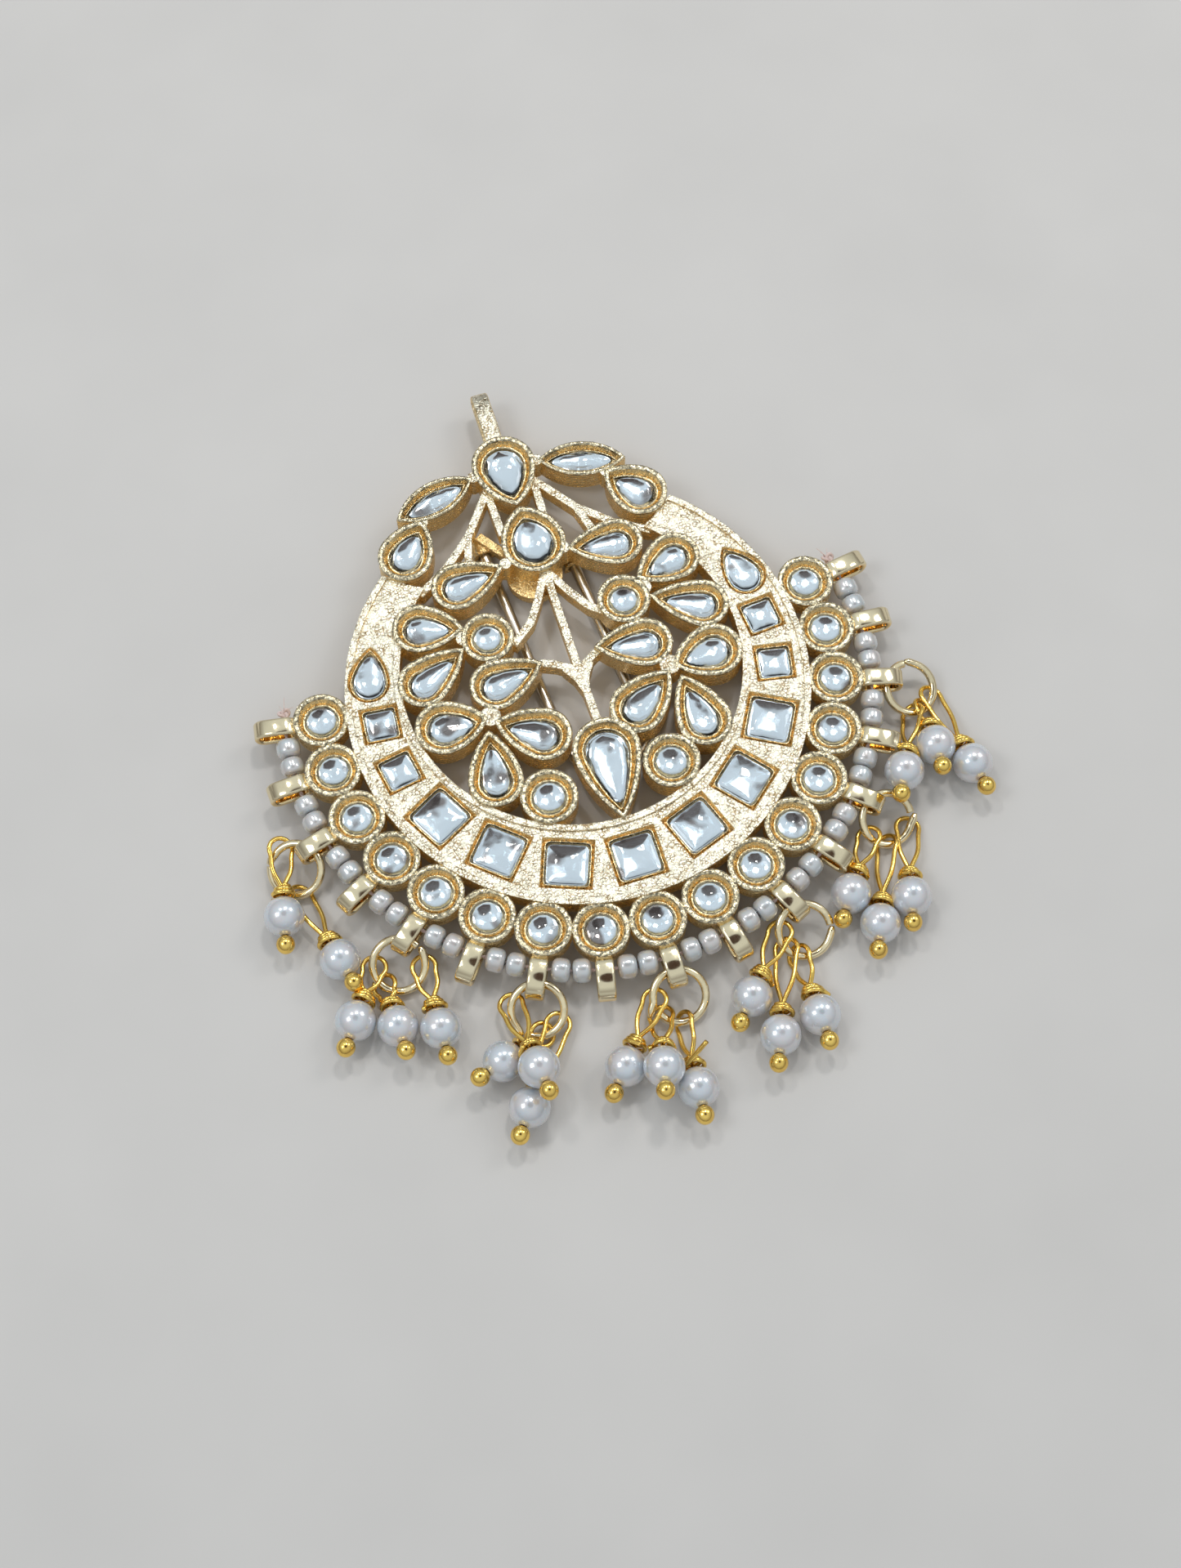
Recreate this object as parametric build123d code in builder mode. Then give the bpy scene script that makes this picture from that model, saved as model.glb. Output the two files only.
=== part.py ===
from build123d import *
import os
from math import asin, atan2, cos, hypot, radians, sin, sqrt

os.makedirs("parts", exist_ok=True)

# Lengths in mm. The brooch lies face up on z = 0, the origin is the centre of the
# band's circle and +Y points to the bail.

# Driving sizes
band_radius = 23.3
pearl_diameter = 4.0
pin_wire = 1.2
pin_to_back = 0.7
frame_depth = 2.6

# Levels above the resting plane
back_level = pin_wire + pin_to_back
rim_level = back_level + frame_depth
rim_over_ridge = 0.35
ridge_over_field = 0.25
ridge_level = rim_level - rim_over_ridge
field_level = ridge_level - ridge_over_field
stem_top_drop = 0.7
stem_base_rise = 0.2
seat_plate = 0.8
seat_level = back_level + seat_plate

# Crescent band
band_inner_radius = 0.738 * band_radius
band_inner_offset = 0.094 * band_radius
horn_outer_angle = 48.5
horn_inner_angle = 51.5
ridge_width = 0.65

# Collet walls, as insets from the outline of a setting
crest_width = 0.45
foot_inset = 1.0
pocket_inset = 1.25
foot_drop = 0.9
band_slope = 0.3
band_pocket = 0.55
band_foot_drop = 0.45
tip_inset_factor = 1.1
marquise_tip_share = 0.45
marquise_inset_share = 0.75
shoulder_turn = 80.0

# Stones
stone_clearance = 0.06
seat_clearance = 0.1
girdle_rise = 0.1
crown_drop = 0.2
table_share = 0.62
step_share = 0.82
band_table_drop = 0.02

# Outer rounds, strap loops and seed beads
round_count = 17
round_pitch = 12.36
round_ring = 1.1073 * band_radius
round_radius = 0.1202 * band_radius
round_drop = 0.6
loop_width = 1.8
loop_length = 4.4
loop_height = 2.4
loop_strap = 0.55
loop_corner = 1.1
loop_edge = 0.24
loop_top_drop = 0.6
loop_root = 0.35
bail_length = 6.6
bead_diameter = 2.35
bead_length = 1.85
bead_bore = 0.7
bead_round_share = 0.49
bead_spread = 1.95
thread_wire = 0.4
thread_share = 1.2665
knot_diameter = 1.5
knot_turn = 3.2

# Jump rings and head pins
ring_wire = 0.8
ring_diameter = 5.9
ring_cut = 4.0
head_wire = 0.48
pearl_bore = 0.7
pearl_flat = 0.6
ball_diameter = 1.7
eye_radius = 1.15
eye_reach_least = 1.05
neck_turns = 2
neck_pack = 0.9
neck_radius = 0.42
part_gap = 0.08
eye_gap = 0.34

# Hair pin and its holder
pin_spread = 8.3
pin_lean = 4.3
pin_bend_x = 0.058 * band_radius
pin_bend_y = -0.193 * band_radius
pin_left_reach = 1.062 * band_radius
pin_right_reach = 0.865 * band_radius
plate_radius = 2.9
plate_x = -0.013 * band_radius
plate_y = 0.601 * band_radius
plate_drop = 0.9
lug_diameter = 2.3
lug_length = 1.8
lug_gap = 0.1
strut_width = 0.9

stem_width = 0.8

# Pear settings: tip x, tip y, round centre x, round centre y, radius, as shares of band_radius
axis_pears = {
    "top": (0.0, 0.895, 0.0, 1.112, 0.1417),
    "second": (0.006, 0.886, 0.016, 0.6975, 0.142),
    "centre": (0.0, -0.655, 0.024, -0.335, 0.146),
}
shoulder_pear = (0.419, 0.946, 0.541, 0.803, 0.120)
leaf_pears = [
    (0.146, 0.627, 0.367, 0.592, 0.1116),
    (0.392, 0.390, 0.582, 0.449, 0.1137),
    (0.420, 0.298, 0.631, 0.193, 0.1116),
]
petal_pears = [
    (0.116, 0.136, 0.339, 0.090, 0.1137),
    (0.414, -0.047, 0.607, -0.032, 0.1223),
    (0.395, -0.069, 0.208, -0.189, 0.1200),
    (0.430, -0.102, 0.4635, -0.3305, 0.1180),
]
band_pear = (0.802, 0.438, 0.854, 0.275, 0.0923)

# Inner rounds: centre x, centre y, radius, as shares of band_radius
inner_rounds = [(0.309, 0.318, 0.115), (0.2704, -0.4657, 0.1223)]

# Shoulder marquise: inner tip, outer tip, half width, as shares of band_radius
marquise = (0.152, 1.086, 0.529, 0.983, 0.086)

# Band squares: turn from the bottom in degrees, distance and side as shares of band_radius
square_rows = [
    (0.0, 0.819, 0.223),
    (20.4, 0.819, 0.223),
    (40.9, 0.826, 0.223),
    (61.1, 0.837, 0.223),
    (79.5, 0.853, 0.173),
    (95.0, 0.860, 0.169),
]

# Stems: points as shares of band_radius, drawn as bent bars. The inner ones stand a little
# to the right of the axis.
stem_shift = 0.026
axis_stem = [(0.0, 0.57), (0.0, 0.04), (0.006, -0.21)]
inner_stems = [
    [(0.0, 0.57), (0.075, 0.43), (0.135, 0.34), (0.235, 0.262)],
    [(0.0, 0.03), (0.035, 0.085), (0.085, 0.118), (0.15, 0.146)],
    [(0.0, -0.03), (0.018, 0.03), (0.055, 0.09)],
]
upper_stems = [
    [(0.105, 1.02), (0.25, 0.824), (0.39, 0.70), (0.53, 0.615)],
    [(0.25, 0.824), (0.292, 0.67)],
    [(0.107, 1.004), (0.101, 0.785)],
]

# Solder joints between neighbours: x, y, radius, as shares of band_radius
solder_joints = [
    (0.410, 0.343, 0.032),
    (0.402, -0.042, 0.044),
    (0.324, 0.202, 0.026),
    (0.425, 0.940, 0.026),
    (0.147, 1.088, 0.026),
    (0.134, 0.634, 0.026),
]

# Jump rings: loop, swing, tilt and roll in degrees, place of the wire along the loop
ring_rows = [
    (3, 15, 24, -8, 0.59),
    (5, 14, 24, -6, 0.58),
    (7, 10, 22, 4, 0.55),
    (9, -5, 24, 0, 0.51),
    (11, -15, 24, 6, 0.59),
    (13, -15, 24, 8, 0.59),
    (15, -14, 20, 10, 0.59),
]

# Pearls: loop, turn from the loop in degrees, distance as a share of band_radius,
# height as a share of pearl_diameter, place of the eye on the jump ring in degrees
pearl_rows = [
    (3, 6.7, 1.592, 0.55, -105),
    (3, 17.7, 1.557, 0.54, 49),
    (5, 0.3, 1.727, 0.51, -61),
    (5, 5.8, 1.662, 0.50, -16),
    (5, 11.6, 1.603, 0.53, 95),
    (7, -3.1, 1.668, 0.51, 2),
    (7, 2.1, 1.700, 1.14, -103),
    (7, 1.3, 1.842, 0.51, 43),
    (9, -10.7, 1.674, 0.50, -88),
    (9, -5.7, 1.722, 0.99, -55),
    (9, -1.8, 1.818, 0.50, -2),
    (11, -14.6, 1.545, 0.51, -105),
    (11, -13.8, 1.743, 0.54, -69),
    (11, -7.7, 1.754, 0.50, -37),
    (13, -15.9, 1.468, 0.51, -95),
    (13, -16.9, 1.642, 0.51, -48),
    (13, -10.9, 1.679, 0.53, 11),
    (15, -17.5, 1.439, 0.81, -69),
    (15, -11.4, 1.550, 0.65, -38),
    (15, -13.0, 1.717, 0.52, -4),
]


def scaled(row):
    return tuple(value * band_radius for value in row)


def mirrored(row):
    return tuple(-value if place in (0, 2) else value for place, value in enumerate(row))


def flat(radius, angle, level=0.0):
    return Vector(radius * cos(radians(angle)), radius * sin(radians(angle)), level)


def loop_angle(number):
    return -90.0 + (number - (round_count + 1) / 2) * round_pitch


def pear_arcs(row, inset):
    """Three arcs of a pear outline as point triples: side, back, side."""
    tip_x, tip_y, eye_x, eye_y, size = row
    radius = size - inset
    reach = hypot(tip_x - eye_x, tip_y - eye_y) - tip_inset_factor * inset
    facing = atan2(tip_y - eye_y, tip_x - eye_x)
    turn = radians(shoulder_turn)
    side = (reach**2 + radius**2 - 2 * radius * reach * cos(turn)) / (2 * (radius - reach * cos(turn)))
    eye = Vector(eye_x, eye_y)
    tip = eye + Vector(reach * cos(facing), reach * sin(facing))
    shoulders = []
    middles = []
    for hand in (1, -1):
        out = Vector(cos(facing + hand * turn), sin(facing + hand * turn))
        shoulder = eye + out * radius
        hub = eye + out * (radius - side)
        chord_middle = (shoulder + tip) * 0.5
        middles.append(hub + (chord_middle - hub).normalized() * side)
        shoulders.append(shoulder)
    back = eye - Vector(radius * cos(facing), radius * sin(facing))
    return [
        (tip, middles[0], shoulders[0]),
        (shoulders[0], back, shoulders[1]),
        (shoulders[1], middles[1], tip),
    ]


def marquise_arcs(row, inset):
    """Two arcs of a pointed oval outline as point triples; its walls are thinner than a pear's."""
    inset = inset * marquise_inset_share
    start = Vector(row[0], row[1])
    end = Vector(row[2], row[3])
    along = (end - start).normalized()
    across = Vector(-along.Y, along.X)
    middle = (start + end) * 0.5
    start = start + along * (inset * row[4] / (row[4] - marquise_tip_share * inset))
    end = end - along * (inset * row[4] / (row[4] - marquise_tip_share * inset))
    half = row[4] - inset
    return [(start, middle + across * half, end), (end, middle - across * half, start)]


def round_arcs(row, inset):
    """Two half circles as point triples."""
    x, y, radius = row
    left, right = Vector(x - radius + inset, y), Vector(x + radius - inset, y)
    top, bottom = Vector(x, y + radius - inset), Vector(x, y - radius + inset)
    return [(left, top, right), (right, bottom, left)]


def draw(arcs, mode=Mode.ADD):
    """Draw an arc outline as a face in the sketch that is open."""
    make_face([Edge.make_three_point_arc(*triple) for triple in arcs], mode=mode)


def outline_points(arcs, count):
    """Corner points evenly spread along an arc outline."""
    edges = [Edge.make_three_point_arc(*triple) for triple in arcs]
    wire = Wire(edges)
    return [wire.position_at(step / count) for step in range(count)]


def shrink(points, share, centre):
    return [centre + (point - centre) * share for point in points]


def facet_face(points):
    Polygon(*[(point.X, point.Y) for point in points], align=None)


def square_frame(turn, distance, level):
    spot = flat(distance, -90.0 + turn, level)
    return Plane(origin=spot, x_dir=flat(1.0, turn), z_dir=(0, 0, 1))


# Outlines of all settings, right side then left side
pears_by_group = {
    "shoulder": [scaled(shoulder_pear)],
    "leaf": [scaled(row) for row in leaf_pears],
    "petal": [scaled(row) for row in petal_pears],
}
for group, rows in pears_by_group.items():
    pears_by_group[group] = rows + [mirrored(row) for row in rows]
axis_rows = {name: scaled(row) for name, row in axis_pears.items()}
band_pear_rows = [scaled(band_pear), mirrored(scaled(band_pear))]
marquise_rows = [scaled(marquise), mirrored(scaled(marquise))]
inner_rows = [scaled(row) for row in inner_rounds]
inner_rows = inner_rows + [(-x, y, radius) for x, y, radius in inner_rows]
outer_rows = []
for number in range(1, round_count + 1):
    spot = flat(round_ring, loop_angle(number))
    outer_rows.append((spot.X, spot.Y, round_radius))
pear_rows = list(axis_rows.values()) + [row for rows in pears_by_group.values() for row in rows]
square_places = []
for turn, distance, side in square_rows:
    hands = (1,) if turn == 0.0 else (1, -1)
    for hand in hands:
        square_places.append((hand * turn, distance * band_radius, side * band_radius))
square_places.sort()

# Outline, row and how far the rim lies below rim_level
shapes = [(pear_arcs, row, 0.0) for row in pear_rows]
shapes = shapes + [(marquise_arcs, row, 0.0) for row in marquise_rows]
shapes = shapes + [(round_arcs, row, 0.0) for row in inner_rows]
shapes = shapes + [(round_arcs, row, round_drop) for row in outer_rows]

# Recesses of the collets
with BuildPart() as recesses:
    for arcs, row, drop in shapes:
        with BuildSketch(Plane.XY.offset(rim_level - drop)) as mouth:
            draw(arcs(row, crest_width))
        with BuildSketch(Plane.XY.offset(rim_level - drop - foot_drop)) as foot:
            draw(arcs(row, foot_inset))
        loft(sections=[mouth.sketch, foot.sketch], ruled=True, mode=Mode.ADD)
    with BuildSketch(Plane.XY.offset(seat_level)):
        for arcs, row, drop in shapes:
            draw(arcs(row, pocket_inset))
    extrude(amount=rim_level - foot_drop - seat_level)
    for row in band_pear_rows:
        with BuildSketch(Plane.XY.offset(field_level)) as mouth:
            draw(pear_arcs(row, 0.0))
        with BuildSketch(Plane.XY.offset(field_level - band_foot_drop)) as foot:
            draw(pear_arcs(row, band_slope))
        loft(sections=[mouth.sketch, foot.sketch], ruled=True)
    with BuildSketch(Plane.XY.offset(seat_level)):
        for row in band_pear_rows:
            draw(pear_arcs(row, band_pocket))
    extrude(amount=field_level - band_foot_drop - seat_level)
    for turn, distance, side in square_places:
        with BuildSketch(square_frame(turn, distance, field_level)) as mouth:
            Rectangle(side, side)
        with BuildSketch(square_frame(turn, distance, field_level - band_foot_drop)) as foot:
            Rectangle(side - 2 * band_slope, side - 2 * band_slope)
        loft(sections=[mouth.sketch, foot.sketch], ruled=True)
        with BuildSketch(square_frame(turn, distance, seat_level)):
            Rectangle(side - 2 * band_pocket, side - 2 * band_pocket)
        extrude(amount=field_level - band_foot_drop - seat_level)

# Strap loops and bail
loop_start = round_ring + round_radius - loop_root
loop_centre_level = rim_level - loop_top_drop - loop_height / 2
with BuildPart() as straps:
    strap_rows = [(loop_angle(number), loop_start, loop_length) for number in range(1, round_count + 1)]
    top_row = axis_rows["top"]
    strap_rows.append((90.0, top_row[3] + top_row[4] - loop_root, bail_length))
    for angle, start, length in strap_rows:
        middle = flat(start + length / 2, angle, loop_centre_level)
        with BuildSketch(Plane(origin=middle, x_dir=flat(1.0, angle), z_dir=flat(1.0, angle - 90.0))):
            RectangleRounded(length, loop_height, loop_corner)
            RectangleRounded(
                length - 2 * loop_strap,
                loop_height - 2 * loop_strap,
                loop_corner - loop_strap,
                mode=Mode.SUBTRACT,
            )
        extrude(amount=loop_width / 2, both=True)
    side_edges = [edge for face in straps.faces() if face.inner_wires() for edge in face.edges()]
    fillet(side_edges, loop_edge)

# Hair pin path, in a frame of its own that leans with the pin
pin_level = pin_wire / 2
lean = radians(pin_lean)
pin_up = Vector(-sin(lean), cos(lean), 0.0)
pin_side = Vector(cos(lean), sin(lean), 0.0)
pin_frame = Plane(
    origin=(pin_bend_x, pin_bend_y, pin_level), x_dir=pin_side, z_dir=(0, 0, 1)
)
half_spread = pin_spread / 2
left_end = pin_frame.from_local_coords(Vector(-half_spread, pin_left_reach, 0.0))
right_end = pin_frame.from_local_coords(Vector(half_spread, pin_right_reach, 0.0))
plate_spot = Vector(plate_x, plate_y, 0.0)

# Cast frame
with BuildPart() as frame:
    with BuildSketch(Plane.XY.offset(back_level)):
        for arcs, row, drop in shapes:
            if not drop:
                draw(arcs(row, 0.0))
        for x, y, radius in solder_joints:
            with Locations((x * band_radius, y * band_radius), (-x * band_radius, y * band_radius)):
                Circle(radius * band_radius)
    extrude(amount=frame_depth)
    with BuildSketch(Plane.XY.offset(back_level)):
        for row in outer_rows:
            draw(round_arcs(row, 0.0))
    extrude(amount=frame_depth - round_drop)
    with BuildSketch(Plane.XY.offset(back_level)):
        inner_middle = Vector(0.0, band_inner_offset - band_inner_radius)
        horns = []
        for hand in (1, -1):
            outer_end = flat(band_radius, horn_outer_angle)
            rise = band_inner_offset * sin(radians(horn_inner_angle))
            inner_reach = rise + sqrt(
                band_inner_radius**2 - (band_inner_offset * cos(radians(horn_inner_angle))) ** 2
            )
            inner_end = flat(inner_reach, horn_inner_angle)
            horns.append((Vector(hand * outer_end.X, outer_end.Y), Vector(hand * inner_end.X, inner_end.Y)))
        with BuildLine():
            ThreePointArc(horns[0][0], Vector(0.0, -band_radius), horns[1][0])
            Line(horns[1][0], horns[1][1])
            ThreePointArc(horns[1][1], inner_middle, horns[0][1])
            Line(horns[0][1], horns[0][0])
        make_face()
    extrude(amount=ridge_level - back_level)
    with BuildSketch(Plane.XY.offset(back_level + stem_base_rise)):
        runs = [[(x + stem_shift, y) for x, y in axis_stem]]
        for hand in (1, -1):
            runs += [[(hand * x + stem_shift, y) for x, y in points] for points in inner_stems]
            runs += [[(hand * x, y) for x, y in points] for points in upper_stems]
        for points in runs:
            with BuildLine():
                Polyline(*[scaled(point) for point in points])
            trace(line_width=stem_width)
    extrude(amount=frame_depth - stem_base_rise - stem_top_drop)
    with BuildSketch(Plane.XY.offset(back_level - plate_drop)):
        with Locations(plate_spot):
            Circle(plate_radius)
        for end in (left_end, right_end):
            with BuildLine():
                Line(plate_spot, Vector(end.X, end.Y))
            trace(line_width=strut_width)
    extrude(amount=plate_drop + stem_base_rise)
    for end in (left_end, right_end):
        with BuildSketch(Plane(origin=end, x_dir=pin_side, z_dir=pin_up)):
            Circle(lug_diameter / 2)
            with Locations((0, (back_level + stem_base_rise - pin_level) / 2)):
                Rectangle(lug_diameter, back_level + stem_base_rise - pin_level)
        extrude(amount=-lug_length)
    add(straps.part)
    with BuildSketch(Plane.XY.offset(field_level)):
        with BuildLine():
            ThreePointArc(
                horns[0][0] * ((band_radius - ridge_width) / band_radius),
                Vector(0.0, -band_radius + ridge_width),
                horns[1][0] * ((band_radius - ridge_width) / band_radius),
            )
            Line(
                horns[1][0] * ((band_radius - ridge_width) / band_radius),
                horns[1][1] * ((band_inner_radius + ridge_width) / band_inner_radius),
            )
            ThreePointArc(
                horns[1][1] * ((band_inner_radius + ridge_width) / band_inner_radius),
                inner_middle - Vector(0.0, ridge_width),
                horns[0][1] * ((band_inner_radius + ridge_width) / band_inner_radius),
            )
            Line(
                horns[0][1] * ((band_inner_radius + ridge_width) / band_inner_radius),
                horns[0][0] * ((band_radius - ridge_width) / band_radius),
            )
        make_face()
        for arcs, row, drop in shapes:
            draw(arcs(row, 0.0), mode=Mode.SUBTRACT)
    extrude(amount=frame_depth, mode=Mode.SUBTRACT)
    add(recesses.part, mode=Mode.SUBTRACT)
    with BuildSketch(Plane(origin=left_end, x_dir=pin_side, z_dir=pin_up)):
        Circle(pin_wire / 2 + lug_gap)
    extrude(amount=-lug_length, mode=Mode.SUBTRACT)
    with BuildSketch(Plane(origin=right_end, x_dir=pin_side, z_dir=pin_up)):
        Circle(pin_wire / 2 + lug_gap)
    extrude(amount=-lug_length, mode=Mode.SUBTRACT)
frame.part.label = "frame"
export_step(frame.part, "parts/frame.step")

# Hair pin
with BuildPart() as hair_pin:
    with BuildLine(pin_frame) as pin_path:
        Line((-half_spread, pin_left_reach), (-half_spread, 0))
        ThreePointArc((-half_spread, 0), (0, -half_spread), (half_spread, 0))
        Line((half_spread, 0), (half_spread, pin_right_reach))
    with BuildSketch(Plane(origin=pin_path.line @ 0, x_dir=pin_side, z_dir=pin_up)):
        Circle(pin_wire / 2)
    sweep(path=pin_path.line)
hair_pin.part.label = "hair_pin"
export_step(hair_pin.part, "parts/hair_pin.step")


def facet_stone(points, centre, girdle, table, shares):
    """Add a cut stone to the open part: straight girdle, then rows of flat facets to the table."""
    with BuildSketch(Plane.XY.offset(seat_level + seat_clearance)) as base:
        facet_face(points)
    extrude(base.sketch, amount=girdle - seat_level - seat_clearance)
    levels = [girdle + (table - girdle) * step / (len(shares) - 1) for step in range(len(shares))]
    for step in range(len(shares) - 1):
        with BuildSketch(Plane.XY.offset(levels[step])) as lower:
            facet_face(shrink(points, shares[step], centre))
        with BuildSketch(Plane.XY.offset(levels[step + 1])) as upper:
            facet_face(shrink(points, shares[step + 1], centre))
        loft(sections=[lower.sketch, upper.sketch], ruled=True)


def collet_stone(arcs, row, centre, count, drop=0.0):
    outline = outline_points(arcs(row, pocket_inset + stone_clearance), count)
    girdle = rim_level - drop - foot_drop + girdle_rise
    facet_stone(outline, centre, girdle, rim_level - drop - crown_drop, (1.0, table_share))


pear_facets = 14
round_facets = 12
marquise_facets = 10

# Stones on the axis, a piece each
for name, row in axis_rows.items():
    with BuildPart() as stone:
        collet_stone(pear_arcs, row, Vector(row[2], row[3]), pear_facets)
    stone.part.label = name + "_pear_stone"
    export_step(stone.part, "parts/" + name + "_pear_stone.step")

# Small collet stones, a piece per group
stone_groups = {
    "leaf_stones": [(pear_arcs, row) for row in pears_by_group["leaf"]],
    "petal_stones": [(pear_arcs, row) for row in pears_by_group["petal"]],
    "shoulder_stones": [(pear_arcs, row) for row in pears_by_group["shoulder"]]
    + [(marquise_arcs, row) for row in marquise_rows],
    "inner_round_stones": [(round_arcs, row) for row in inner_rows],
    "outer_round_stones": [(round_arcs, row) for row in outer_rows],
}
for name, members in stone_groups.items():
    with BuildPart() as stones:
        for arcs, row in members:
            if arcs is pear_arcs:
                collet_stone(arcs, row, Vector(row[2], row[3]), pear_facets)
            elif arcs is marquise_arcs:
                middle = Vector((row[0] + row[2]) / 2, (row[1] + row[3]) / 2)
                collet_stone(arcs, row, middle, marquise_facets)
            else:
                drop = round_drop if name == "outer_round_stones" else 0.0
                collet_stone(arcs, row, Vector(row[0], row[1]), round_facets, drop)
    stones.part.label = name
    export_step(stones.part, "parts/" + name + ".step")

# Band pears
band_girdle = field_level - band_foot_drop + girdle_rise
with BuildPart() as band_pears:
    for row in band_pear_rows:
        outline = outline_points(pear_arcs(row, band_pocket + stone_clearance), pear_facets)
        facet_stone(
            outline,
            Vector(row[2], row[3]),
            band_girdle,
            field_level - band_table_drop,
            (1.0, table_share),
        )
band_pears.part.label = "band_pear_stones"
export_step(band_pears.part, "parts/band_pear_stones.step")

# Band squares, a piece each, with two rows of four facets
for index, (turn, distance, side) in enumerate(square_places, start=1):
    name = f"square_stone_{index:02d}"
    cut_side = side - 2 * (band_pocket + stone_clearance)
    levels = [band_girdle, (band_girdle + field_level) / 2, field_level - band_table_drop]
    sides = [cut_side, cut_side * step_share, cut_side * table_share]
    with BuildPart() as stone:
        with BuildSketch(square_frame(turn, distance, seat_level + seat_clearance)):
            Rectangle(cut_side, cut_side)
        extrude(amount=band_girdle - seat_level - seat_clearance)
        for step in range(len(sides) - 1):
            with BuildSketch(square_frame(turn, distance, levels[step])) as lower:
                Rectangle(sides[step], sides[step])
            with BuildSketch(square_frame(turn, distance, levels[step + 1])) as upper:
                Rectangle(sides[step + 1], sides[step + 1])
            loft(sections=[lower.sketch, upper.sketch], ruled=True)
    stone.part.label = name
    export_step(stone.part, f"parts/{name}.step")

# Seed beads and their thread
thread_ring = thread_share * band_radius
thread_level = loop_centre_level
with BuildPart() as beads:
    for number in range(1, round_count):
        middle_angle = (loop_angle(number) + loop_angle(number + 1)) / 2
        for hand in (1, -1):
            angle = middle_angle + hand * bead_spread
            spot = flat(thread_ring, angle, thread_level)
            with BuildSketch(Plane(origin=spot, x_dir=flat(1.0, angle), z_dir=(0, 0, 1))):
                bead_wall = (bead_diameter - bead_bore) / 2
                with Locations(((bead_diameter + bead_bore) / 4, 0)):
                    RectangleRounded(bead_wall, bead_length, bead_wall * bead_round_share)
            revolve(axis=Axis(spot, flat(1.0, angle + 90.0)), revolution_arc=360)
beads.part.label = "edge_beads"
export_step(beads.part, "parts/edge_beads.step")

thread_start = loop_angle(1) - knot_turn
thread_end = loop_angle(round_count) + knot_turn
with BuildPart() as thread:
    with BuildLine() as thread_path:
        ThreePointArc(
            flat(thread_ring, thread_start, thread_level),
            flat(thread_ring, -90.0, thread_level),
            flat(thread_ring, thread_end, thread_level),
        )
    with BuildSketch(Plane(origin=thread_path.line @ 0, z_dir=thread_path.line % 0)):
        Circle(thread_wire / 2)
    sweep(path=thread_path.line)
    for angle in (thread_start, thread_end):
        with Locations(flat(thread_ring, angle, thread_level)):
            Sphere(knot_diameter / 2)
thread.part.label = "bead_thread"
export_step(thread.part, "parts/bead_thread.step")

# Jump rings
ring_radius = (ring_diameter - ring_wire) / 2
ring_frames = {}
for index, (number, swing, tilt, roll, place) in enumerate(ring_rows, start=1):
    angle = loop_angle(number)
    hold_radius = loop_start + loop_strap + place * (loop_length - 2 * loop_strap) + ring_wire / 2
    hold = flat(hold_radius, angle, loop_centre_level)
    facing = flat(1.0, angle + swing)
    across = flat(1.0, angle + swing + 90.0)
    outward = facing * cos(radians(tilt)) - Vector(0, 0, 1) * sin(radians(tilt))
    lift = outward.cross(across)
    across = across * cos(radians(roll)) + lift * sin(radians(roll))
    centre = hold + outward * ring_radius
    normal = outward.cross(across)
    ring_frames[number] = (centre, outward, across)
    with BuildPart() as ring:
        section = Plane(origin=centre, x_dir=outward, z_dir=across)
        with BuildSketch(section):
            with Locations((ring_radius, 0)):
                Circle(ring_wire / 2)
        revolve(axis=Axis(centre, normal), revolution_arc=360 - ring_cut)
    ring.part.label = f"jump_ring_{index}"
    export_step(ring.part, f"parts/jump_ring_{index}.step")

# Pearls and head pins
pearl_radius = pearl_diameter / 2
flat_height = sqrt(pearl_radius**2 - pearl_flat**2)
pins_by_loop = {number: [] for number, *_ in ring_rows}
for index, (number, turn, distance, height, eye_turn) in enumerate(pearl_rows, start=1):
    centre, outward, across = ring_frames[number]
    spot = flat(distance * band_radius, loop_angle(number) + turn, height * pearl_diameter)
    eye_angle = radians(eye_turn)
    hook = centre + (outward * cos(eye_angle) + across * sin(eye_angle)) * ring_radius
    wire_way = across * cos(eye_angle) - outward * sin(eye_angle)
    down = (spot - hook).normalized()
    side = (wire_way - down * wire_way.dot(down)).normalized()
    slant = wire_way.dot(side)
    pins_by_loop[number].append((spot, hook, down, side, slant))
    with BuildPart() as pearl:
        with BuildSketch(Plane(origin=spot, x_dir=side, z_dir=side.cross(down))):
            with BuildLine():
                ThreePointArc((pearl_flat, -flat_height), (pearl_radius, 0), (pearl_flat, flat_height))
                Line((pearl_flat, flat_height), (pearl_bore / 2, flat_height))
                Line((pearl_bore / 2, flat_height), (pearl_bore / 2, -flat_height))
                Line((pearl_bore / 2, -flat_height), (pearl_flat, -flat_height))
            make_face()
        revolve(axis=Axis(spot, down), revolution_arc=360)
    pearl.part.label = f"pearl_{index:02d}"
    export_step(pearl.part, f"parts/pearl_{index:02d}.step")

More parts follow.
